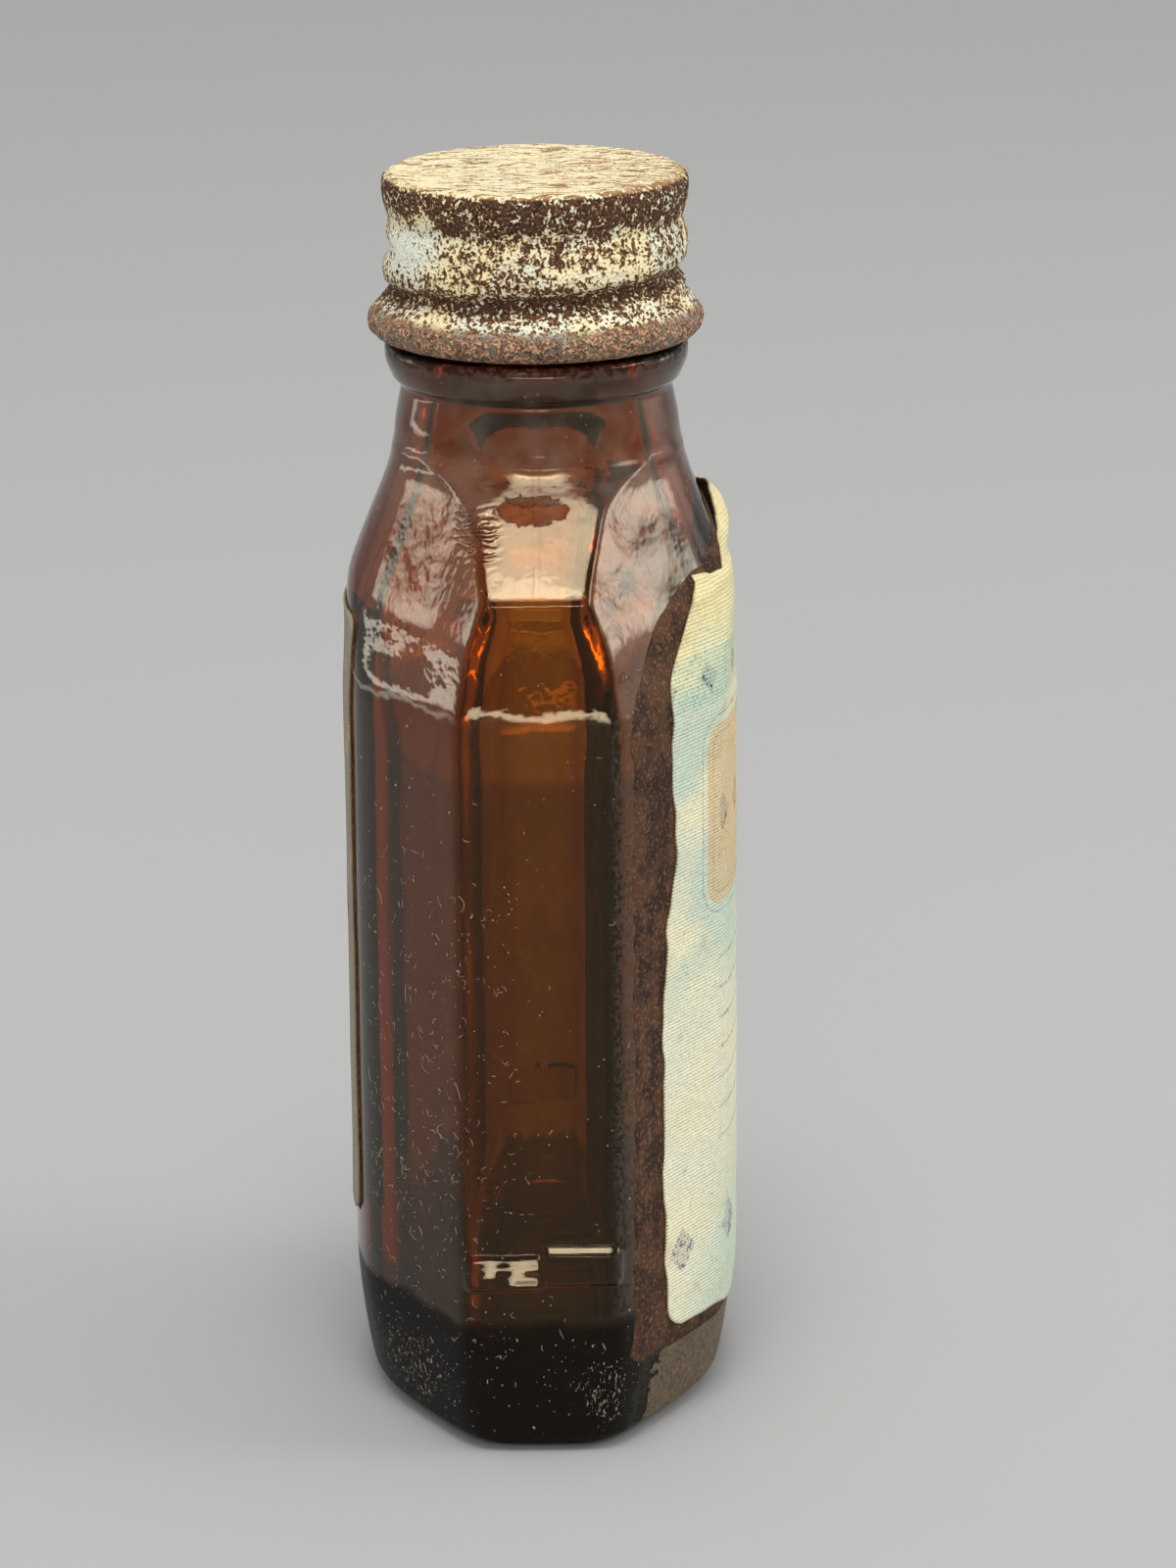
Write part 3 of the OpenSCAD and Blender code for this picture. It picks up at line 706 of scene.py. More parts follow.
def thread_height(theta, z):
    """Height of the thread at an angle and height: a trapezium ridge."""
    share = climbing(theta, z, THREAD_FROM, THREAD_TURNS, THREAD_START_Z, 0.09,
                     lambda off: np.clip((THREAD_HALF_FOOT - off) / THREAD_FLANK, 0, 1))
    return (THREAD_R - ROOT_R - 0.04) * share


def ring_points(theta, r, z):
    """Points in rows and columns from the angles and the r and z of each row."""
    r, z, theta = np.broadcast_arrays(r, z, theta)
    return np.stack([r * np.cos(theta), r * np.sin(theta), z], axis=-1)


def make_glass(material):
    """The bottle as one closed surface.

    Its rings run out over the hollow base, up the heel, the walls, the bead and the thread, over the
    lip, and down the bore and the inner walls to the floor.
    """
    theta = glass_columns()[None, :]
    rows, inner = [], []

    def keep(r, z, is_inner):
        ring = ring_points(theta, r, z)
        rows.append(ring)
        inner.extend([is_inner] * ring.shape[0])

    foot = outer_radius(theta, np.array([[0.0]]))
    keep((foot - BEARING_W - 0.5) * np.array([[0.25], [0.6], [0.9]]), PUSH_UP, 0)
    for inset, height in ((0.5, PUSH_UP), (0.15, PUSH_UP - 0.25), (0.0, 0.1), (-0.3, 0.0)):
        keep(foot - BEARING_W - inset, height, 0)
    z = GLASS_ROWS_Z[:, None]
    keep(outer_radius(theta, z), z, 0)
    path = profile([[NECK_R, BEAD_Z, 0], [BEAD_R - 0.5, BEAD_Z + 0.55, 0.7],
                    [BEAD_R - 0.02, BEAD_Z + 1.7, 1.6], [BEAD_R - 0.02, BEAD_TOP_Z, 0.45],
                    [ROOT_R, BEAD_TOP_Z, 0.3], [ROOT_R, LIP_Z, LIP_R], [BORE_R, LIP_Z, LIP_R],
                    [BORE_R, LIP_Z - 2, 0]], FINISH_STEP)
    r, z = path[:, :1], path[:, 1:]
    on_root = (np.abs(r - ROOT_R) < 0.02) * smooth_step(z, BEAD_TOP_Z + 0.1, BEAD_TOP_Z + 0.6)
    keep(r + on_root * thread_height(theta, z), z, 0)
    z = CAVITY_ROWS_Z[:, None]
    keep(inner_radius(theta, z), z, 1)
    wall = inner_radius(theta, z[-1:])
    turn = np.linspace(0, math.pi / 2, 8)[1:, None]
    keep(wall - FLOOR_R * (1 - np.cos(turn)), BASE_T + FLOOR_R * (1 - np.sin(turn)), 1)
    shrink = np.array([[0.85], [0.65], [0.4], [0.15]])
    keep((wall - FLOOR_R) * shrink, BASE_T + FLOOR_DISH * (1 - shrink ** 2), 1)
    piece = revolved("bottle_glass", np.concatenate(rows), (0, 0, PUSH_UP), (0, 0, BASE_T + FLOOR_DISH),
                     material, "bottle")
    point_attribute(piece, "inner", np.concatenate([np.repeat(inner, theta.size), [0, 1]]))
    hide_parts("glass_bottle")


make_glass(amber_glass())

# Cap of tinplate, seated on its wad
TIN = 0.3
CAP_TOP_Z = 86.4
RIM_R = 10.25
SKIRT_R = 10.1
WAIST_R = 10.0
CURL_BOTTOM_Z = 75.15
CURL_H = 2.3
CURL_R = 1.0
CURL_X = 10.15
GROOVE_START_Z = CURL_BOTTOM_Z + CURL_H + 0.5
GROOVE_DEPTH = 0.58
GROOVE_TURNS = 1.15
GROOVE_FROM = math.radians(65.0)
CAP_COLUMNS = 480

# What the scene adds to the pressed shape: swells, rust crust, dents and scratches
WAIST_GROOVE_Z = 83.3
WAIST_IN = 0.16
SWELL = 0.14
CURL_OUT = 0.12
CRUST_H = 0.05
DENT_H = 0.06
SCRATCH_H = 0.012


def cap_path(step):
    """Middle line of the tinplate from the centre of the top to the end of the rolled edge."""
    roll_r, curl_from, curl_to, roll_sweep = 0.3, 40.0, -62.0, -200.0
    curl_centre = np.array([CURL_X, CURL_BOTTOM_Z + CURL_H / 2])
    flare_z = CURL_BOTTOM_Z + 1.35 * CURL_H
    waist_z = CAP_TOP_Z - 1.0 - CURL_H
    skin = profile([[0, CAP_TOP_Z - TIN / 2, 0], [RIM_R, CAP_TOP_Z - TIN / 2, 1.0],
                    [RIM_R, CAP_TOP_Z - 1.3, 1.15], [WAIST_R, waist_z, 1.15],
                    [SKIRT_R, waist_z - 1.15, 1.15], [SKIRT_R, flare_z, 0]], step)
    curl = np.radians(np.linspace(curl_from, curl_to, 16))
    roll = np.radians(np.linspace(curl_to, curl_to + roll_sweep, 10))
    roll_centre = curl_centre + (CURL_R - roll_r) * np.array([math.cos(curl[-1]), math.sin(curl[-1])])
    return np.concatenate([skin, curl_centre + CURL_R * np.stack([np.cos(curl), np.sin(curl)], 1),
                           (roll_centre + roll_r * np.stack([np.cos(roll), np.sin(roll)], 1))[1:]])


def groove_depth(theta, z):
    """Depth of the rolled thread groove, a round-bottomed valley that climbs round the skirt."""
    return GROOVE_DEPTH * climbing(theta, z, GROOVE_FROM, GROOVE_TURNS, GROOVE_START_Z, 0.1,
                                   lambda off: smooth_step(off, 1.0, 0.2))


def offset_path(path, distance):
    """The path moved sideways by distance, along the normals of its runs."""
    ahead = np.concatenate([path[1:], path[-1:]])
    behind = np.concatenate([path[:1], path[:-1]])
    run = ahead - behind
    run = run / np.hypot(run[:, 0], run[:, 1])[:, None]
    return path + distance * np.stack([-run[:, 1], run[:, 0]], axis=1)


def rusted_tinplate():
    """Cream lacquer on tinplate, eaten by brown rust in specks, under the rim and at the edge.

    A field of three noises is raised where rust has spread and lowered where the lacquer has held. It
    goes from lacquer through a yellow halo and mid brown to dark rust with pale crumbs on it.
    """
    f = Finish("rusted_tinplate")
    round_angle = f.math("ARCTAN2", f.y, f.times(f.x, -1.0))
    coarse, middle = f.noise(4.0, 2), f.noise(1.5, 3, shift=5)
    fine, grain = f.noise(0.56, 2, shift=11), f.noise(0.22, 1, shift=17)

    on_top = f.step(f.z, CAP_TOP_Z - 0.35, CAP_TOP_Z - 0.1)
    on_side = f.less(on_top)
    left = f.step(round_angle, 0.5, 1.0)
    drip = f.add(f.times(middle, -4.2), f.times(coarse, -1.6))
    band_low = f.add(CAP_TOP_Z + 0.1, drip, left)
    band = f.times(f.step(f.minus(f.z, band_low), -0.5, 0.9), on_side)
    groove_z = f.add(GROOVE_START_Z + PITCH * 115 / 360, f.times(round_angle, -PITCH / TURN))
    edge = f.step(f.z, 77.6, 76.9)
    clean = f.times(f.near(round_angle, 1.05, 0.62), f.near(f.z, 82.0, 2.8))
    bright = f.times(f.near(round_angle, -0.55, 0.7), f.near(f.z, 80.9, 0.9))
    low_left = f.times(f.near(round_angle, 0.8, 0.5), f.near(f.z, 77.9, 1.0))
    side = f.add(-0.01, f.times(band, 0.2), f.times(f.near(f.z, groove_z, 1.25), 0.25),
                 f.times(edge, 0.1), f.times(f.step(f.z, 79.0, 78.0), -0.02), f.times(clean, -0.28),
                 f.times(bright, -0.18), f.times(low_left, -0.2))
    warp = f.add(f.x, f.times(f.noise(2.6, 2, shift=33), 3.0))
    streaks = f.noise(0.42, 3, place=f.point(warp, f.times(f.y, 0.16)))
    top = f.add(-0.2, f.times(f.step(streaks, 0.47, 0.66), 0.36),
                f.times(f.step(f.y, 0.0, -9.5), 0.07), f.times(f.step(f.from_axis(), 9.3, 10.2), 0.1))
    amount = f.add(f.times(side, on_side), f.times(top, on_top))
    scatter = f.add(f.times(f.minus(fine, 0.5), 1.1), f.times(f.minus(grain, 0.5), 1.25),
                    f.times(f.minus(middle, 0.5), 0.4))
    field = f.add(amount, 0.5, f.times(scatter, f.step(on_top, 0.0, 1.0, 1.0, 0.55)))

    lacquer = f.mix(f.step(coarse, 0.4, 0.6), srgb(242, 226, 176), srgb(226, 226, 204))
    # Painted shade: the lacquer on top is a slightly darker copy of the side's, which offsets the
    # stronger light on top.
    lacquer = f.mix(f.times(on_top, 0.8), lacquer, srgb(230, 214, 170))
    lacquer = f.mix(f.times(clean, 0.6), lacquer, srgb(228, 232, 216))
    halo = f.mix(coarse, srgb(210, 180, 120), srgb(186, 156, 112))
    colour = f.mix(f.step(field, 0.40, 0.50), lacquer, halo)
    mid_brown = f.mix(f.step(middle, 0.4, 0.6), srgb(98, 66, 42), srgb(138, 92, 54))
    colour = f.mix(f.step(field, 0.50, 0.56), colour, mid_brown)
    dark = f.mix(f.step(fine, 0.35, 0.65), srgb(34, 24, 23), srgb(82, 53, 37))
    colour = f.mix(f.step(field, 0.58, 0.66), colour, dark)
    crumbs = f.step(f.noise(0.2, 2, shift=47), 0.6, 0.68, 0.0, 0.65)
    colour = f.mix(f.times(crumbs, f.step(field, 0.56, 0.62)), colour, srgb(176, 140, 98))
    pinkish = f.mix(f.step(grain, 0.4, 0.6), srgb(74, 52, 46), srgb(204, 158, 122))
    pinkish = f.mix(f.step(fine, 0.36, 0.5), srgb(64, 46, 40), pinkish)
    colour = f.mix(f.times(edge, f.step(fine, 0.64, 0.58, 0.2, 0.85)), colour, pinkish)
    tan = f.mix(f.step(grain, 0.4, 0.6), srgb(146, 102, 60), srgb(196, 150, 98))
    colour = f.mix(f.times(on_top, f.step(field, 0.5, 0.6), 0.7), colour, tan)
    bare_tin = f.mix(f.noise(0.8, 3), srgb(120, 104, 84), srgb(70, 50, 40))
    colour = f.mix(f.attribute("inside"), colour, bare_tin)
    height = f.add(f.times(f.step(field, 0.4, 0.62), 0.5), f.times(grain, 1.3), fine)
    shader = f.surface(Base_Color=colour, Roughness=f.step(field, 0.42, 0.6, 0.6, 0.92),
                       Specular_IOR_Level=0.3, Normal=f.bump(height, 0.16, 0.9))
    return f.show(shader)


def make_cap(material):
    """The pressed cap: a strip along its middle line carried round, with the thread groove rolled in.

    The outside swells by bell curves in z: out above the groove, in at the waist. Slow ripples dent
    it, and fine ripples are its rust crust, thickest at the rolled edge.
    """
    theta = (np.arange(CAP_COLUMNS) * TURN / CAP_COLUMNS)[None, :]
    outer, inner = offset_path(cap_path(0.17), TIN / 2), offset_path(cap_path(0.5), -TIN / 2)
    strip = np.concatenate([inner[1:], outer[:0:-1]])
    inside = np.concatenate([np.ones(len(inner) - 1), np.zeros(len(outer) - 1)])
    shown = (1 - inside)[:, None]
    r, z = strip[:, :1], strip[:, 1:]
    x, y = r * np.cos(theta), r * np.sin(theta)
    on_skirt = smooth_step(z, CAP_TOP_Z - 1.1, CAP_TOP_Z - 2.4)
    on_skirt = on_skirt * smooth_step(r, SKIRT_R - 0.9, SKIRT_R - 0.4)
    on_skirt = on_skirt * smooth_step(z, CURL_BOTTOM_Z + 0.8, CURL_BOTTOM_Z + 2.2)
    crust = CRUST_H * ripple(x, y, z, 0.5, 31) + 0.7 * CRUST_H * ripple(x, y, z, 1.1, 37)
    dents = DENT_H * ripple(x, y, z, 6.0, 41)
    low = smooth_step(z, CURL_BOTTOM_Z + CURL_H + 1, CURL_BOTTOM_Z + CURL_H)
    rim = smooth_step(z, CAP_TOP_Z - 1.8, CAP_TOP_Z - 0.8) * smooth_step(r, 9.2, 9.8)
    groove_here = GROOVE_START_Z + PITCH * np.mod(theta - GROOVE_FROM, TURN) / TURN
    groove = groove_depth(theta, z)
    bulge = SWELL * bell((z - groove_here - 1.7) / 0.8) - WAIST_IN * bell((z - WAIST_GROOVE_Z) / 0.7)
    swell = bulge * on_skirt - SWELL * groove / GROOVE_DEPTH * on_skirt + CURL_OUT * low
    radius = r - groove * on_skirt + dents * smooth_step(r, 6, 9)
    radius = radius + shown * (swell + crust * (0.45 + 0.5 * rim + 1.3 * low))
    flat = smooth_step(z, CAP_TOP_Z - 0.4, CAP_TOP_Z - 0.05)
    scratch = SCRATCH_H * ripple(x, y * 0.12, z, 0.35, 43)
    height = z + shown * flat * (0.4 * crust + scratch - 0.035)
    piece = revolved("tinplate_cap", ring_points(theta, radius, height), (0, 0, CAP_TOP_Z - TIN),
                     (0, 0, CAP_TOP_Z - 0.03), material, "cap")
    point_attribute(piece, "inside", np.concatenate([np.repeat(inside, CAP_COLUMNS), [1, 0]]))
    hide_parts("cap_shell")


make_cap(rusted_tinplate())

# Labels and their glue, in mm
GLUE_T = 0.08
PAPER_T = 0.16
FRONT_LOW_Z = 6.6
FRONT_TOP_Z = 59.6
TONGUE_H = 3.7
FRONT_NEAR_X = -14.75
FRONT_FAR_X = 14.5
GLUE_NEAR_X = -17.7

# The near upper corner of the paper and of the glue is torn away above these heights
TEAR_Z = 53.6
TEAR_SLOPE = 1.05
TEAR_REACH = 5.7
GLUE_TEAR_Z = 52.6
GLUE_TEAR_SLOPE = 0.95

# How far the tongue stands off the glass, and the crease under it
PEEL = 0.95
PEEL_SLOPE = 1.29
CREASE_Z = 59.3
CREASE_H = 0.14

# Where the broad face meets the chamfer
BROAD_HALF_X = 8.4


def on_broad_side(x, z, side):
    """Points on the glass of a broad side at given x and z, and the outward normals there.

    The angle is halved in on until the outline's own x is the x wanted. x runs along the columns so
    that the cross product of the two steps of the grid points outwards.
    """
    low, high = np.full(x.shape, 0.02), np.full(x.shape, math.pi - 0.02)
    for _ in range(20):
        middle = (low + high) / 2
        past = shoulder_form(side * middle, z, 0.0, 0, crease_softness(z)) * np.cos(middle) > x
        low, high = np.where(past, middle, low), np.where(past, high, middle)
    theta = side * (low + high) / 2
    points = ring_points(theta, outer_radius(theta, z), z)
    normals = np.cross(np.gradient(points, axis=1), np.gradient(points, axis=0))
    return points, normals / np.linalg.norm(normals, axis=2, keepdims=True)


def edge_distance(x, z):
    """Distance of every grid point to the nearest point of the grid's own border, flat in x and z."""
    border_x = np.concatenate([x[0], x[-1], x[:, 0], x[:, -1]])
    border_z = np.concatenate([z[0], z[-1], z[:, 0], z[:, -1]])
    rows = [np.hypot(a[:, None] - border_x, b[:, None] - border_z).min(axis=1) for a, b in zip(x, z)]
    return np.stack(rows)


def sheet(name, x, z, side, inner, outer, material, node):
    """A closed thin sheet on a broad side, between two distances from the glass.

    Its attributes carry the way across the label along the glass, which is longer than x on the
    chamfers, the height, the distance to its edge and whether a point is on its back.
    """
    base, normals = on_broad_side(x, z, side)
    m, n = x.shape
    front = base + normals * np.broadcast_to(outer, x.shape)[..., None]
    back = base + normals * np.broadcast_to(inner, x.shape)[..., None]
    index = np.arange(m * n).reshape(m, n)
    under = index + m * n
    quads = np.stack([index[:-1, :-1], index[:-1, 1:], index[1:, 1:], index[1:, :-1]], -1)
    quads_back = np.stack([under[:-1, :-1], under[1:, :-1], under[1:, 1:], under[:-1, 1:]], -1)
    loop = np.concatenate([index[0, :-1], index[:-1, -1], index[-1, :0:-1], index[:0:-1, 0]])
    after = np.roll(loop, -1)
    rim = np.stack([loop, loop + m * n, after + m * n, after], -1)
    faces = np.concatenate([quads.reshape(-1, 4), quads_back.reshape(-1, 4), rim]).tolist()
    points = np.concatenate([front.reshape(-1, 3), back.reshape(-1, 3)])
    piece = new_object(name, points, faces, material, "bottle")
    on_face = np.minimum(np.abs(x), BROAD_HALF_X)
    on_chamfer = np.maximum(np.abs(x) - BROAD_HALF_X, 0)
    across = np.sign(x) * (on_face * 1.01 + on_chamfer * 1.2)
    for key, value in (("across", across), ("up", z), ("edge", edge_distance(x, z))):
        point_attribute(piece, key, np.tile(value.ravel(), 2))
    point_attribute(piece, "back", np.repeat([0.0, 1.0], m * n))
    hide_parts(node)


def patch_grid(near, far, low, high, columns, rows):
    """Grid between near and far edges x(z) and lower and upper edges z(u), finer at its sides."""
    w = np.linspace(0, 1, columns)
    u = 0.5 * w + 0.5 * (1 - np.cos(math.pi * w)) / 2
    v = np.linspace(0, 1, rows)[:, None]
    z = low(u) + v * (high(u) - low(u))
    return near(z) + u * (far(z) - near(z)), z


def corner_rise(u, width, r):
    """Rise of a rounded corner: r less the height of a circle, over the first width of u."""
    t = np.clip(u / width, 0, 1)
    return r * (1 - np.sqrt(1 - (1 - t) ** 2))


def front_label():
    """Large label, torn along a slope on the shoulder, with a tongue that stands off the glass.

    Its near edge is wavy, bulges in once and slopes away above the tear. Its upper edge climbs to the
    tongue and drops again. The tongue stands off by a slope in x and z, and its paper is crumpled.
    """
    def near(z):
        tear = TEAR_SLOPE * np.minimum(soft_max([z - TEAR_Z, 0], 0.5), TEAR_REACH)
        wave = 0.16 * ripple(z, 0, 0, 1.6, 61) + 0.22 * ripple(z, 0, 0, 5.0, 62)
        return FRONT_NEAR_X + 1.2 * bell((z - 41.5) / 4) + 0.85 * smooth_step(z, 38, 50) + tear + wave

    def far(z):
        return FRONT_FAR_X + 0.05 * ripple(z, 0, 0, 2.0, 63)

    def low(u):
        lower = 0.9 * smooth_step(u, 0.4, 0.08) + 0.1 * ripple(u * 30, 0, 0, 2.0, 64)
        return FRONT_LOW_Z + lower + corner_rise(u, 0.075, 2.2) + corner_rise(1 - u, 0.055, 1.6)

    def high(u):
        slope = np.clip((u - 0.175) / 0.205, 0, 1)
        tongue = (0.82 * slope + 0.18 * smooth_step(u, 0.36, 0.48)) * smooth_step(u, 0.79, 0.75)
        ragged = 0.2 * ripple(u * 30, 0, 0, 1.3, 65) + 0.3 * ripple(u * 30, 0, 0, 4.0, 66)
        return FRONT_TOP_Z - 0.1 + TONGUE_H * tongue + ragged - corner_rise(1 - u, 0.055, 1.6)

    x, z = patch_grid(near, far, low, high, 180, 200)
    behind = x + 4.1 - PEEL_SLOPE * (z - 59.2)
    off_glass = PEEL * smooth_step(z, 59.6, 61.8) * smooth_step(behind, -0.3, 2.6)
    peel = off_glass * (1 - 0.4 * smooth_step(z, 62.3, 63.4)) + 0.3 * smooth_step(z, 61.5, 63.2)
    crease = CREASE_H * bell((z - CREASE_Z - 0.12 * x) / 0.4) * smooth_step(x, 2, -3)
    flutter = 0.5 + 0.5 * ripple(x, z, 0, 1.8, 67)
    bumps = 0.05 * flutter * np.exp(-edge_distance(x, z) / 0.7) + crease
    bumps = bumps + 0.04 * (1 + ripple(x, z, 0, 3.0, 68)) + 0.015 * (1 + ripple(x, z, 0, 0.9, 69))
    sheet("front_paper", x, z, -1, GLUE_T - 0.01 + peel, GLUE_T + PAPER_T - 0.09 + peel + bumps,
          printed_label(), "front_label")


def front_glue():
    """Dried glue, which reaches well past the front label on its near side and above it."""
    def near(z):
        wave = 0.25 * ripple(z, 0, 0, 2.2, 71) + 0.2 * ripple(z, 0, 0, 0.9, 72)
        return GLUE_NEAR_X + GLUE_TEAR_SLOPE * soft_max([z - GLUE_TEAR_Z, 0], 0.5) + wave

    def far(z):
        return FRONT_FAR_X + 0.45 + 0.15 * ripple(z, 0, 0, 1.5, 73)

    def low(u):
        return FRONT_LOW_Z - 0.5 + corner_rise(u, 0.05, 1.5) + corner_rise(1 - u, 0.05, 1.4)

    def high(u):
        tongue = np.clip((u - 0.13) / 0.27, 0, 1) * smooth_step(u, 0.8, 0.76)
        top = FRONT_TOP_Z + 0.6 + (TONGUE_H + 0.2) * tongue + 0.3 * ripple(u * 30, 0, 0, 1.2, 75)
        return top - corner_rise(1 - u, 0.05, 1.4) - corner_rise(u, 0.2, 3.6)

    x, z = patch_grid(near, far, low, high, 120, 150)
    height = GLUE_T * smooth_step(edge_distance(x, z), -0.15, 0.5)
    height = height * (0.8 + 0.2 * ripple(x, z, 0, 0.8, 76))
    sheet("front_glue_film", x, z, -1, -0.02, height, dried_glue(), "front_label_glue")


def back_side(half, low_z, high_z, r, seed):
    """Grid of an upright rectangle with rounded corners on the +Y side, with slightly wavy edges."""
    def corners(u):
        share = r / (2 * half)
        return corner_rise(u, share, r) + corner_rise(1 - u, share, r)

    return patch_grid(lambda z: half + 0.08 * ripple(z, 0, 0, 2.5, seed),
                      lambda z: -half + 0.08 * ripple(z, 0, 0, 2.5, seed + 1),
                      lambda u: low_z + corners(u), lambda u: high_z - corners(u), 90, 120)


def back_label():
    """Small plain label on the far broad side, with its glue."""
    x, z = back_side(6.3, 13.4, 56.8, 1.2, 81)
    bumps = 0.04 * np.exp(-edge_distance(x, z) / 0.8) + 0.02 * (1 + ripple(x, z, 0, 3.0, 83))
    sheet("back_paper", x, z, 1, GLUE_T - 0.01, GLUE_T + PAPER_T - 0.05 + bumps, plain_label(),
          "back_label")
    x, z = back_side(6.5, 13.2, 57.0, 1.3, 85)
    height = GLUE_T * smooth_step(edge_distance(x, z), -0.1, 0.4)
    sheet("back_glue_film", x, z, 1, -0.02, height, dried_glue(), "back_label_glue")


def diagonal_screen(f, across, up, pitch):
    """Product of two sines that cross at right angles on the slant, from -1 to 1."""
    rising = f.math("SINE", f.times(f.add(across, up), TURN / pitch))
    falling = f.math("SINE", f.times(f.minus(across, up), TURN / pitch))
    return f.times(rising, falling)


def paper_bump(f, across, up):
    """Fine diagonal tooth of the paper with slow crumples."""
    tooth = f.times(diagonal_screen(f, across, up, 0.5), 0.35)
    return f.add(tooth, f.noise(0.35, 3), f.times(f.noise(1.6, 3), 1.5))


def aged(f, colour):
    """Age on paper: brown at the edge, spots, and a glue-brown back."""
    ragged = f.add(f.attribute("edge"), f.times(f.noise(0.8, 3), 0.5))
    colour = f.mix(f.step(ragged, 0.36, 0.16, 0.0, 0.35), colour, srgb(160, 134, 92))
    colour = f.mix(f.step(f.noise(2.2, 4, shift=3), 0.6, 0.75, 0.0, 0.45), colour, srgb(196, 178, 128))
    colour = f.mix(f.step(f.noise(0.5, 3, shift=8), 0.66, 0.74, 0.0, 0.5), colour, srgb(140, 124, 96))
    glued = f.mix(f.noise(0.8, 3), srgb(112, 84, 54), srgb(150, 122, 84))
    return f.mix(f.attribute("back"), colour, glued)


def rounded_box(f, across, up, centre_up, half_w, half_h, r):
    """Distance outwards from the line of a box with corners of radius r, in mm."""
    a = f.most(f.minus(f.absolute(across), half_w - r), 0.0)
    b = f.most(f.minus(f.absolute(f.minus(up, centre_up)), half_h - r), 0.0)
    return f.minus(f.math("SQRT", f.add(f.times(a, a), f.times(b, b))), r)


def diamonds(f, across, up, centre_up, spacing, half):
    """Row of diamonds about the middle of the label."""
    a = f.math("PINGPONG", across, spacing / 2)
    b = f.absolute(f.minus(up, centre_up))
    return f.step(f.add(a, b), half + 0.06, half - 0.06)


# What is printed on the front label
PANEL_MID_Z = 43.4
PANEL_HALF = (10.6, 6.4)
PANEL_R = 1.6
BAND_LOW_Z = 51.6
BAND_HIGH_Z = 55.0
RULES_LOW_Z = 19.0
RULES_HIGH_Z = 34.0
RULE_SPACING = 1.1


def printed_label():
    """Cream paper printed in teal, tan and dark blue with a plain panel, bands, rules and diamonds."""
    f = Finish("printed_label")
    across, up = f.attribute("across"), f.attribute("up")
    slow = f.noise(7.0, 2, shift=6)
    colour = f.mix(f.step(slow, 0.35, 0.65), srgb(240, 234, 198), srgb(232, 232, 206))
    colour = f.mix(f.step(up, 48.0, 58.0, 0.0, 0.8), colour, srgb(226, 212, 152))
    screen = f.step(diagonal_screen(f, across, up, 0.44), -0.2, 0.5)
    wash = f.add(f.times(f.within(up, 32.0, 55.0, 3.0), f.step(slow, 0.35, 0.6)),
                 f.times(f.step(up, 24.0, 9.0), f.step(across, -14.0, -7.0)))
    colour = f.mix(f.times(wash, f.step(screen, 0.0, 1.0, 0.42, 0.7)), colour, srgb(172, 206, 192))
    rubbed = f.add(f.noise(0.3, 3, shift=21), f.times(f.noise(2.0, 2, shift=22), 0.5))
    worn = f.step(rubbed, 0.58, 0.72, 1.0, 0.25)
    panel = rounded_box(f, across, up, PANEL_MID_Z, *PANEL_HALF, PANEL_R)
    tan = f.mix(f.times(screen, 0.25), srgb(220, 184, 132), srgb(230, 202, 156))
    colour = f.mix(f.times(f.step(panel, 0.05, -0.05), f.step(worn, 0.0, 1.0, 0.6, 1.0)), colour, tan)
    band = f.within(up, BAND_LOW_Z, BAND_HIGH_Z)
    colour = f.mix(f.times(band, worn, 0.75), colour, srgb(120, 178, 170))
    in_panel = f.times(diamonds(f, across, up, PANEL_MID_Z, 4.2, 1.35), f.step(across, -9.0, -8.9))
    in_band = f.times(band, diamonds(f, across, up, (BAND_LOW_Z + BAND_HIGH_Z) / 2, 5.0, 1.1))
    in_rules = f.times(f.within(up, RULES_LOW_Z, RULES_HIGH_Z), f.step(f.absolute(across), 9.1, 9.0))
    rules = f.step(f.math("PINGPONG", up, RULE_SPACING), 0.16, 0.08)
    ink = f.most(f.near(panel, 0.62, 0.14), f.near(panel, -0.75, 0.1), in_panel, in_band,
                 f.times(in_rules, rules, 0.75), diamonds(f, across, up, 13.0, 7.0, 1.7))
    blue = f.mix(f.step(up, 16.0, 20.0), srgb(92, 84, 124), srgb(40, 52, 88))
    colour = f.mix(f.times(ink, worn, 0.9), colour, blue)
    tooth = f.add(f.times(screen, 0.2), f.noise(0.32, 3, shift=41))
    colour = f.mix(f.step(tooth, 0.45, 0.9, 0.0, 0.3), colour, srgb(158, 154, 118))
    colour = aged(f, colour)
    return f.show(f.surface(Base_Color=colour, Roughness=0.8, Specular_IOR_Level=0.25,
                            Normal=f.bump(paper_bump(f, across, up), 0.12)))


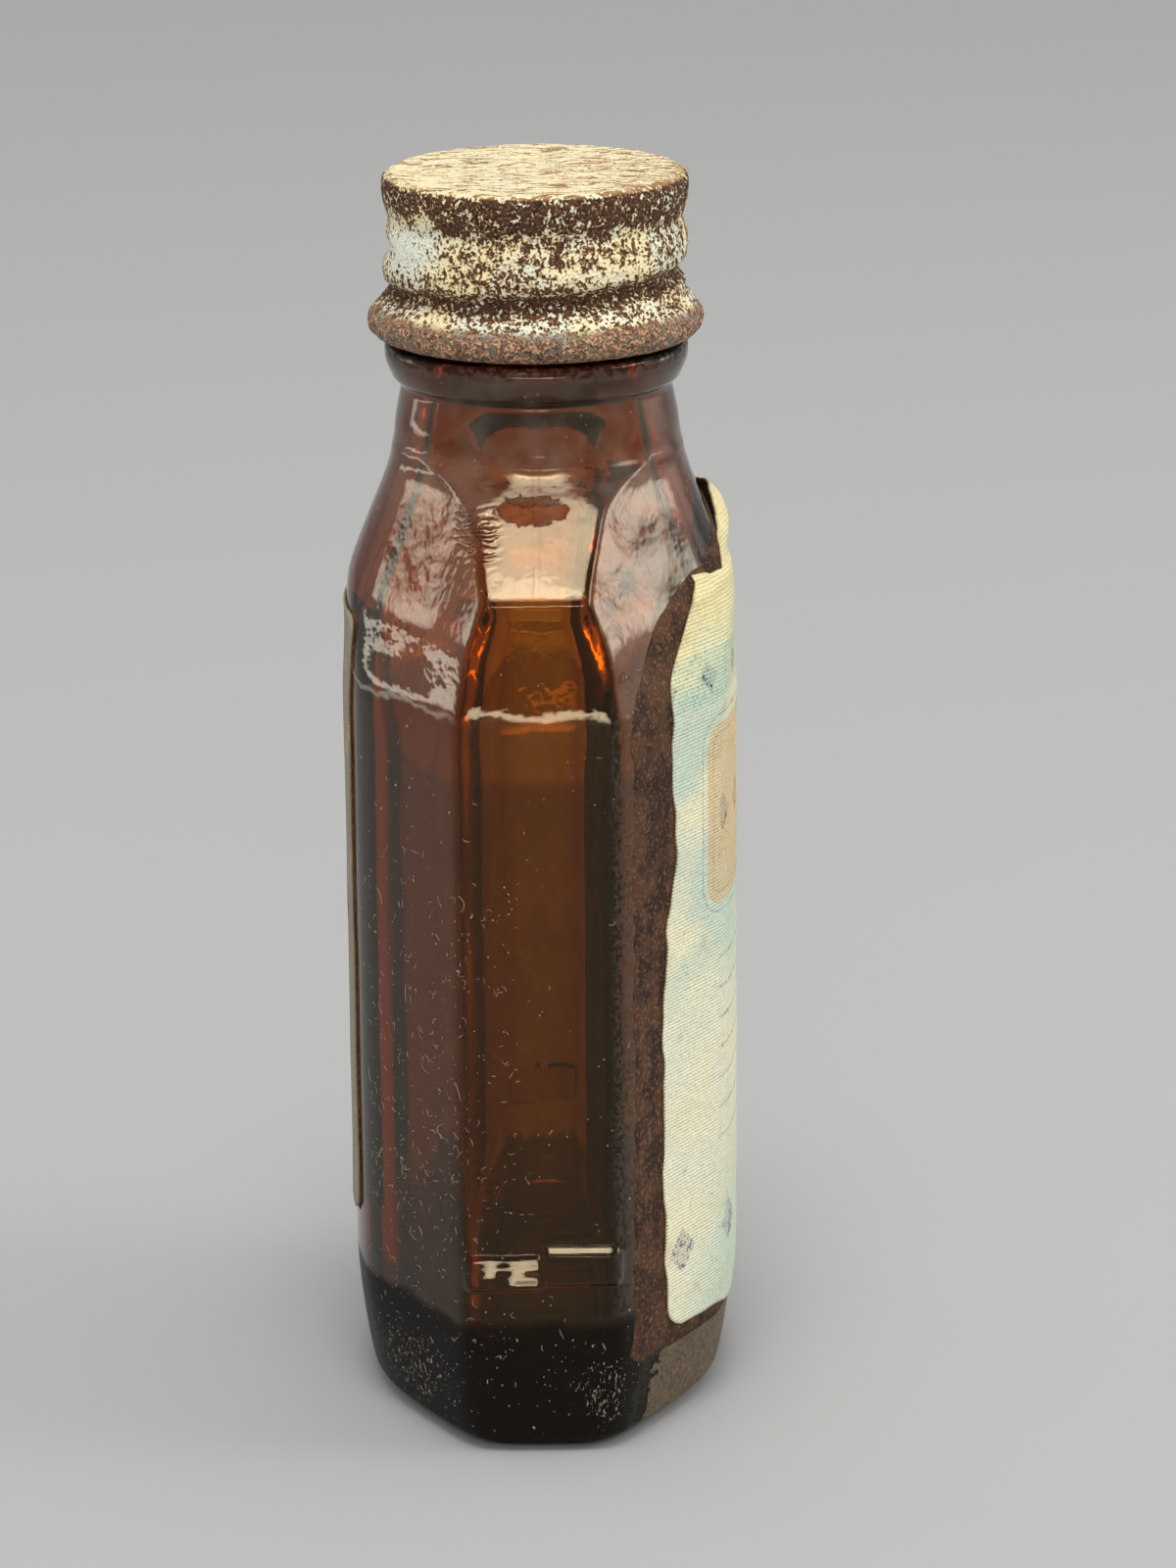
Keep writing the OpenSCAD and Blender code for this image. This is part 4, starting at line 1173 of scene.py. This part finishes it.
def plain_label():
    """Smaller label: paper darkened to grey as painted shade, with one tan frame and a row of blue
    diamonds.
    """
    f = Finish("plain_label")
    across, up = f.attribute("across"), f.attribute("up")
    # Painted shade: the paper is a dimmed grey copy of cream paper, for a label that stands in shade on
    # the far side.
    colour = f.mix(f.noise(5.0, 3), srgb(150, 145, 128), srgb(132, 129, 117))
    middle_z = 35.1
    frame_line = rounded_box(f, across, up, middle_z, 4.9, 20.0, 1.0)
    worn = f.step(f.noise(0.4, 3, shift=21), 0.4, 0.62, 1.0, 0.3)
    colour = f.mix(f.times(f.near(frame_line, 0.0, 0.3), worn), colour, srgb(186, 146, 98))
    ink = f.times(diamonds(f, across, up, middle_z, 3.4, 1.1), f.step(f.absolute(across), 4.2, 4.1))
    colour = f.mix(f.times(ink, worn, 0.85), colour, srgb(62, 72, 104))
    colour = aged(f, colour)
    return f.show(f.surface(Base_Color=colour, Roughness=0.82, Specular_IOR_Level=0.25,
                            Normal=f.bump(paper_bump(f, across, up), 0.07)))


def dried_glue():
    """Brown glue with dust stuck in it."""
    f = Finish("dried_glue")
    colour = f.mix(f.step(f.noise(1.8, 4), 0.4, 0.62), srgb(48, 27, 14), srgb(80, 50, 30))
    colour = f.mix(f.step(f.noise(0.26, 3, shift=5), 0.5, 0.7, 0.0, 0.55), colour, srgb(132, 100, 72))
    colour = f.mix(f.attribute("back"), colour, srgb(206, 138, 84))
    height = f.add(f.noise(0.3, 3), f.times(f.noise(1.4, 3), 2.0))
    return f.show(f.surface(Base_Color=colour, Roughness=0.8, Specular_IOR_Level=0.3,
                            Normal=f.bump(height, 0.1)))


front_glue()
front_label()
back_label()


def pulpboard():
    """Grey-brown board with short fibres, dark flecks and a soft nap."""
    f = Finish("pulpboard")
    threads = f.noise(0.4, 3, stretch=(1.0, 0.35, 1.0))
    colour = f.mix(f.step(threads, 0.35, 0.65), srgb(164, 141, 108), srgb(128, 106, 78))
    colour = f.mix(f.step(f.noise(1.7, 3, shift=4), 0.55, 0.72, 0.0, 0.5), colour, srgb(104, 78, 54))
    colour = f.mix(f.specks(0.9, 0.12, 0.35), colour, srgb(74, 58, 44))
    height = f.add(threads, f.noise(0.18, 2, shift=9))
    return f.show(f.surface(Base_Color=colour, Roughness=0.92, Normal=f.bump(height, 0.08)))


def waxed_facing():
    """Waxed paper with the ring that the lip has pressed in, stained brown at its outer edge."""
    f = Finish("waxed_paper")
    radius = f.add(f.from_axis(), f.times(f.noise(1.2, 3), 0.4), -0.2)
    pressed = f.near(radius, (BORE_R + ROOT_R) / 2, 1.15)
    colour = f.mix(f.step(f.noise(2.6, 3), 0.35, 0.65), srgb(222, 210, 178), srgb(204, 187, 148))
    colour = f.mix(f.times(pressed, 0.55), colour, srgb(172, 142, 98))
    colour = f.mix(f.step(radius, ROOT_R - 0.2, ROOT_R + 0.3, 0.0, 0.75), colour, srgb(118, 78, 46))
    colour = f.mix(f.specks(1.3, 0.16, 0.3, shift=6), colour, srgb(122, 84, 52))
    crinkle = f.noise(0.9, 4, shift=12, roughness=0.6)
    height = f.add(f.times(pressed, -0.8), f.times(crinkle, 0.6))
    return f.show(f.surface(Base_Color=colour, Roughness=f.step(crinkle, 0.3, 0.7, 0.35, 0.6),
                            Normal=f.bump(height, 0.1)))


def repaint(node, material):
    """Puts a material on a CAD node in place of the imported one."""
    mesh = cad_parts[node].data
    mesh.materials.clear()
    mesh.materials.append(material)


repaint("liner_board", pulpboard())
repaint("liner_facing", waxed_facing())


FIBRE_RINGS = 9
FIBRE_SIDES = 3
CAP_EDGE_R = 11.42
CAP_EDGE_Z = 76.3


def fibres(name, count, spots, distance, lengths, radius, seed, body):
    """Dust fibres as one mesh: each a bent three-sided tube on a surface.

    spots draws their angles and heights, and distance gives how far the surface is from the axis
    there. A fibre runs from its middle both ways along a parabola in angle and height, its ends lift
    off, and it thins towards them.
    """
    random = np.random.default_rng(seed)
    theta, z = spots(random, count)
    length = random.uniform(*lengths, count)[:, None]
    heading = random.uniform(0, TURN, count)[:, None]
    bend = random.normal(0, 0.22, count)[:, None]
    t = np.linspace(-0.5, 0.5, FIBRE_RINGS)[None, :]
    forward, sideways = length * t, length * bend * (4 * t ** 2 - 0.5)
    along = forward * np.cos(heading) - sideways * np.sin(heading)
    up = forward * np.sin(heading) + sideways * np.cos(heading)
    z = z[:, None] + up
    theta = theta[:, None] + along / distance(theta, z[:, FIBRE_RINGS // 2])[:, None]
    lift = radius + random.uniform(0, 0.3, count)[:, None] * length * t ** 2
    middle = ring_points(theta, distance(theta, z) + lift, z)
    run = np.gradient(middle, axis=1)
    run = run / np.linalg.norm(run, axis=2, keepdims=True)
    out = np.stack([np.cos(theta), np.sin(theta), 0 * theta], axis=-1)
    side = np.cross(run, out)
    side = side / np.linalg.norm(side, axis=2, keepdims=True)
    out = np.cross(side, run)
    taper = (1 - 0.6 * (2 * t) ** 4)[..., None, None]
    thick = radius * random.uniform(0.6, 1.2, count)[:, None, None, None] * taper
    turn = (np.arange(FIBRE_SIDES) * TURN / FIBRE_SIDES)[None, None, :, None]
    ring = np.cos(turn) * side[:, :, None] + np.sin(turn) * out[:, :, None]
    points = middle[:, :, None] + thick * ring
    index = np.arange(count * FIBRE_RINGS * FIBRE_SIDES).reshape(count, FIBRE_RINGS, FIBRE_SIDES)
    after = np.roll(index, -1, axis=2)
    walls = np.stack([index[:, :-1], index[:, 1:], after[:, 1:], after[:, :-1]], -1).reshape(-1, 4)
    faces = walls.tolist() + index[:, 0].tolist() + index[:, -1, ::-1].tolist()
    f = Finish(name + "_fibre")
    tone = f.mix(f.noise(0.6, 1), srgb(168, 158, 140), srgb(214, 206, 190))
    material = f.show(f.surface(Base_Color=tone, Roughness=0.9))
    new_object(name, points.reshape(-1, 3), faces, material, body)


def on_glass(random, count):
    """Angles and heights of the fibres, most of them low on the -X, +Y part of the bottle."""
    left = random.random(count) < 0.6
    theta = np.where(left, random.uniform(2.2, 3.1, count), random.uniform(0, TURN, count))
    return theta, np.where(left, random.triangular(3, 22, 48, count), random.uniform(3, 66, count))


def on_cap_edge(random, count):
    """Angles and heights of the fluff that clings to the rolled edge of the cap on the -X side."""
    return random.uniform(3.2, 3.35, count), random.uniform(76.6, 77.6, count)


def cap_edge_radius(theta, z):
    """Distance from the axis to just outside the rolled edge: a parabola in z."""
    return CAP_EDGE_R - 0.5 * (z - CAP_EDGE_Z) ** 2 + 0 * theta


fibres("lint", 460, on_glass, outer_radius, (0.12, 0.6), 0.013, 7, "bottle")
fibres("long_lint", 24, on_glass, outer_radius, (0.7, 1.5), 0.013, 8, "bottle")
fibres("cap_fluff", 14, on_cap_edge, cap_edge_radius, (0.5, 1.7), 0.024, 9, "cap")

# Floor, background and lamps
PALE = (0.4, 0.4, 0.395, 1)
ROOM_LIGHT = 0.78


def make_world():
    """Pale background for the camera, for reflections and for what is seen through the glass."""
    world = bpy.data.worlds.new("studio")
    bpy.context.scene.world = world
    world.use_nodes = True
    world.node_tree.nodes.clear()
    w = Nodes(world.node_tree)
    seen = w.node("ShaderNodeBackground", {0: PALE}).outputs[0]
    light = w.node("ShaderNodeBackground", {0: (1, 1, 1, 1), 1: ROOM_LIGHT}).outputs[0]
    rays = w.node("ShaderNodeLightPath").outputs
    share = w.most(rays["Is Camera Ray"], rays["Is Glossy Ray"], rays["Is Transmission Ray"])
    both = w.node("ShaderNodeMixShader", {0: share, 1: light, 2: seen}).outputs[0]
    w.node("ShaderNodeOutputWorld", {0: both})


def make_floor():
    """Plain pale floor, wide enough to fill every view."""
    f = Finish("pale_floor")
    reach = 3000.0
    points = [(-reach, -reach, 0), (reach, -reach, 0), (reach, reach, 0), (-reach, reach, 0)]
    mesh = bpy.data.meshes.new("floor")
    mesh.from_pydata([[v * MM for v in p] for p in points], [], [(0, 1, 2, 3)])
    mesh.materials.append(f.show(f.surface(Base_Color=PALE, Roughness=0.9, Specular_IOR_Level=0.1)))
    floor = bpy.data.objects.new("floor", mesh)
    bpy.context.scene.collection.objects.link(floor)


LAMP_AIM_Z = 50


def make_softbox(name, at, size, brightness):
    """Rectangular lamp at a place in mm, aimed at the bottle, brightest in its middle.

    Its radiance is brightness times (1 - u^2)(1 - v^2), with u and v from -1 to 1 across it.
    """
    data = bpy.data.lights.new(name, "AREA")
    data.shape = "RECTANGLE"
    data.size, data.size_y = size[0] * MM, size[1] * MM
    data.energy = brightness * math.pi * data.size * data.size_y
    data.use_nodes = True
    n = Nodes(data.node_tree)
    place = n.node("ShaderNodeNewGeometry").outputs["Parametric"]
    falls = [n.times(share, n.less(share), 4.0)
             for share in n.node("ShaderNodeSeparateXYZ", {0: place}).outputs[:2]]
    n.tree.links.new(n.times(*falls), n.tree.nodes["Emission"].inputs["Strength"])
    lamp = bpy.data.objects.new(name, data)
    bpy.context.scene.collection.objects.link(lamp)
    lamp.location = Vector(at) * MM
    lamp.rotation_mode = "QUATERNION"
    lamp.rotation_quaternion = (Vector((0, 0, LAMP_AIM_Z)) - Vector(at)).to_track_quat("-Z", "Y")
    lamp.visible_camera = False


make_world()
make_floor()
for lamp_name, lamp_at, lamp_size, lamp_brightness in (
        ("overhead_softbox", (-235, 10, 865), (400, 430), 13.0),
        ("overhead_core", (-290, 10, 845), (280, 130), 8.0),
        ("left_softbox", (265, 745, 150), (640, 420), 0.5),
        ("left_core", (250, 735, 185), (150, 105), 5.0),
        ("left_low_strip", (265, 745, 32), (480, 40), 4.5),
        ("right_softbox", (265, -745, 150), (640, 420), 1.3),
        ("right_core", (250, -735, 180), (190, 140), 6.0),
        ("right_high_softbox", (-100, -800, 600), (500, 400), 7.0),
        ("front_low_strip", (-600, 0, 26), (520, 42), 12.0),
        ("front_high_strip", (-640, 0, 520), (420, 40), 20.0)):
    make_softbox(lamp_name, lamp_at, lamp_size, lamp_brightness)
bpy.context.scene.view_settings.view_transform = "Standard"
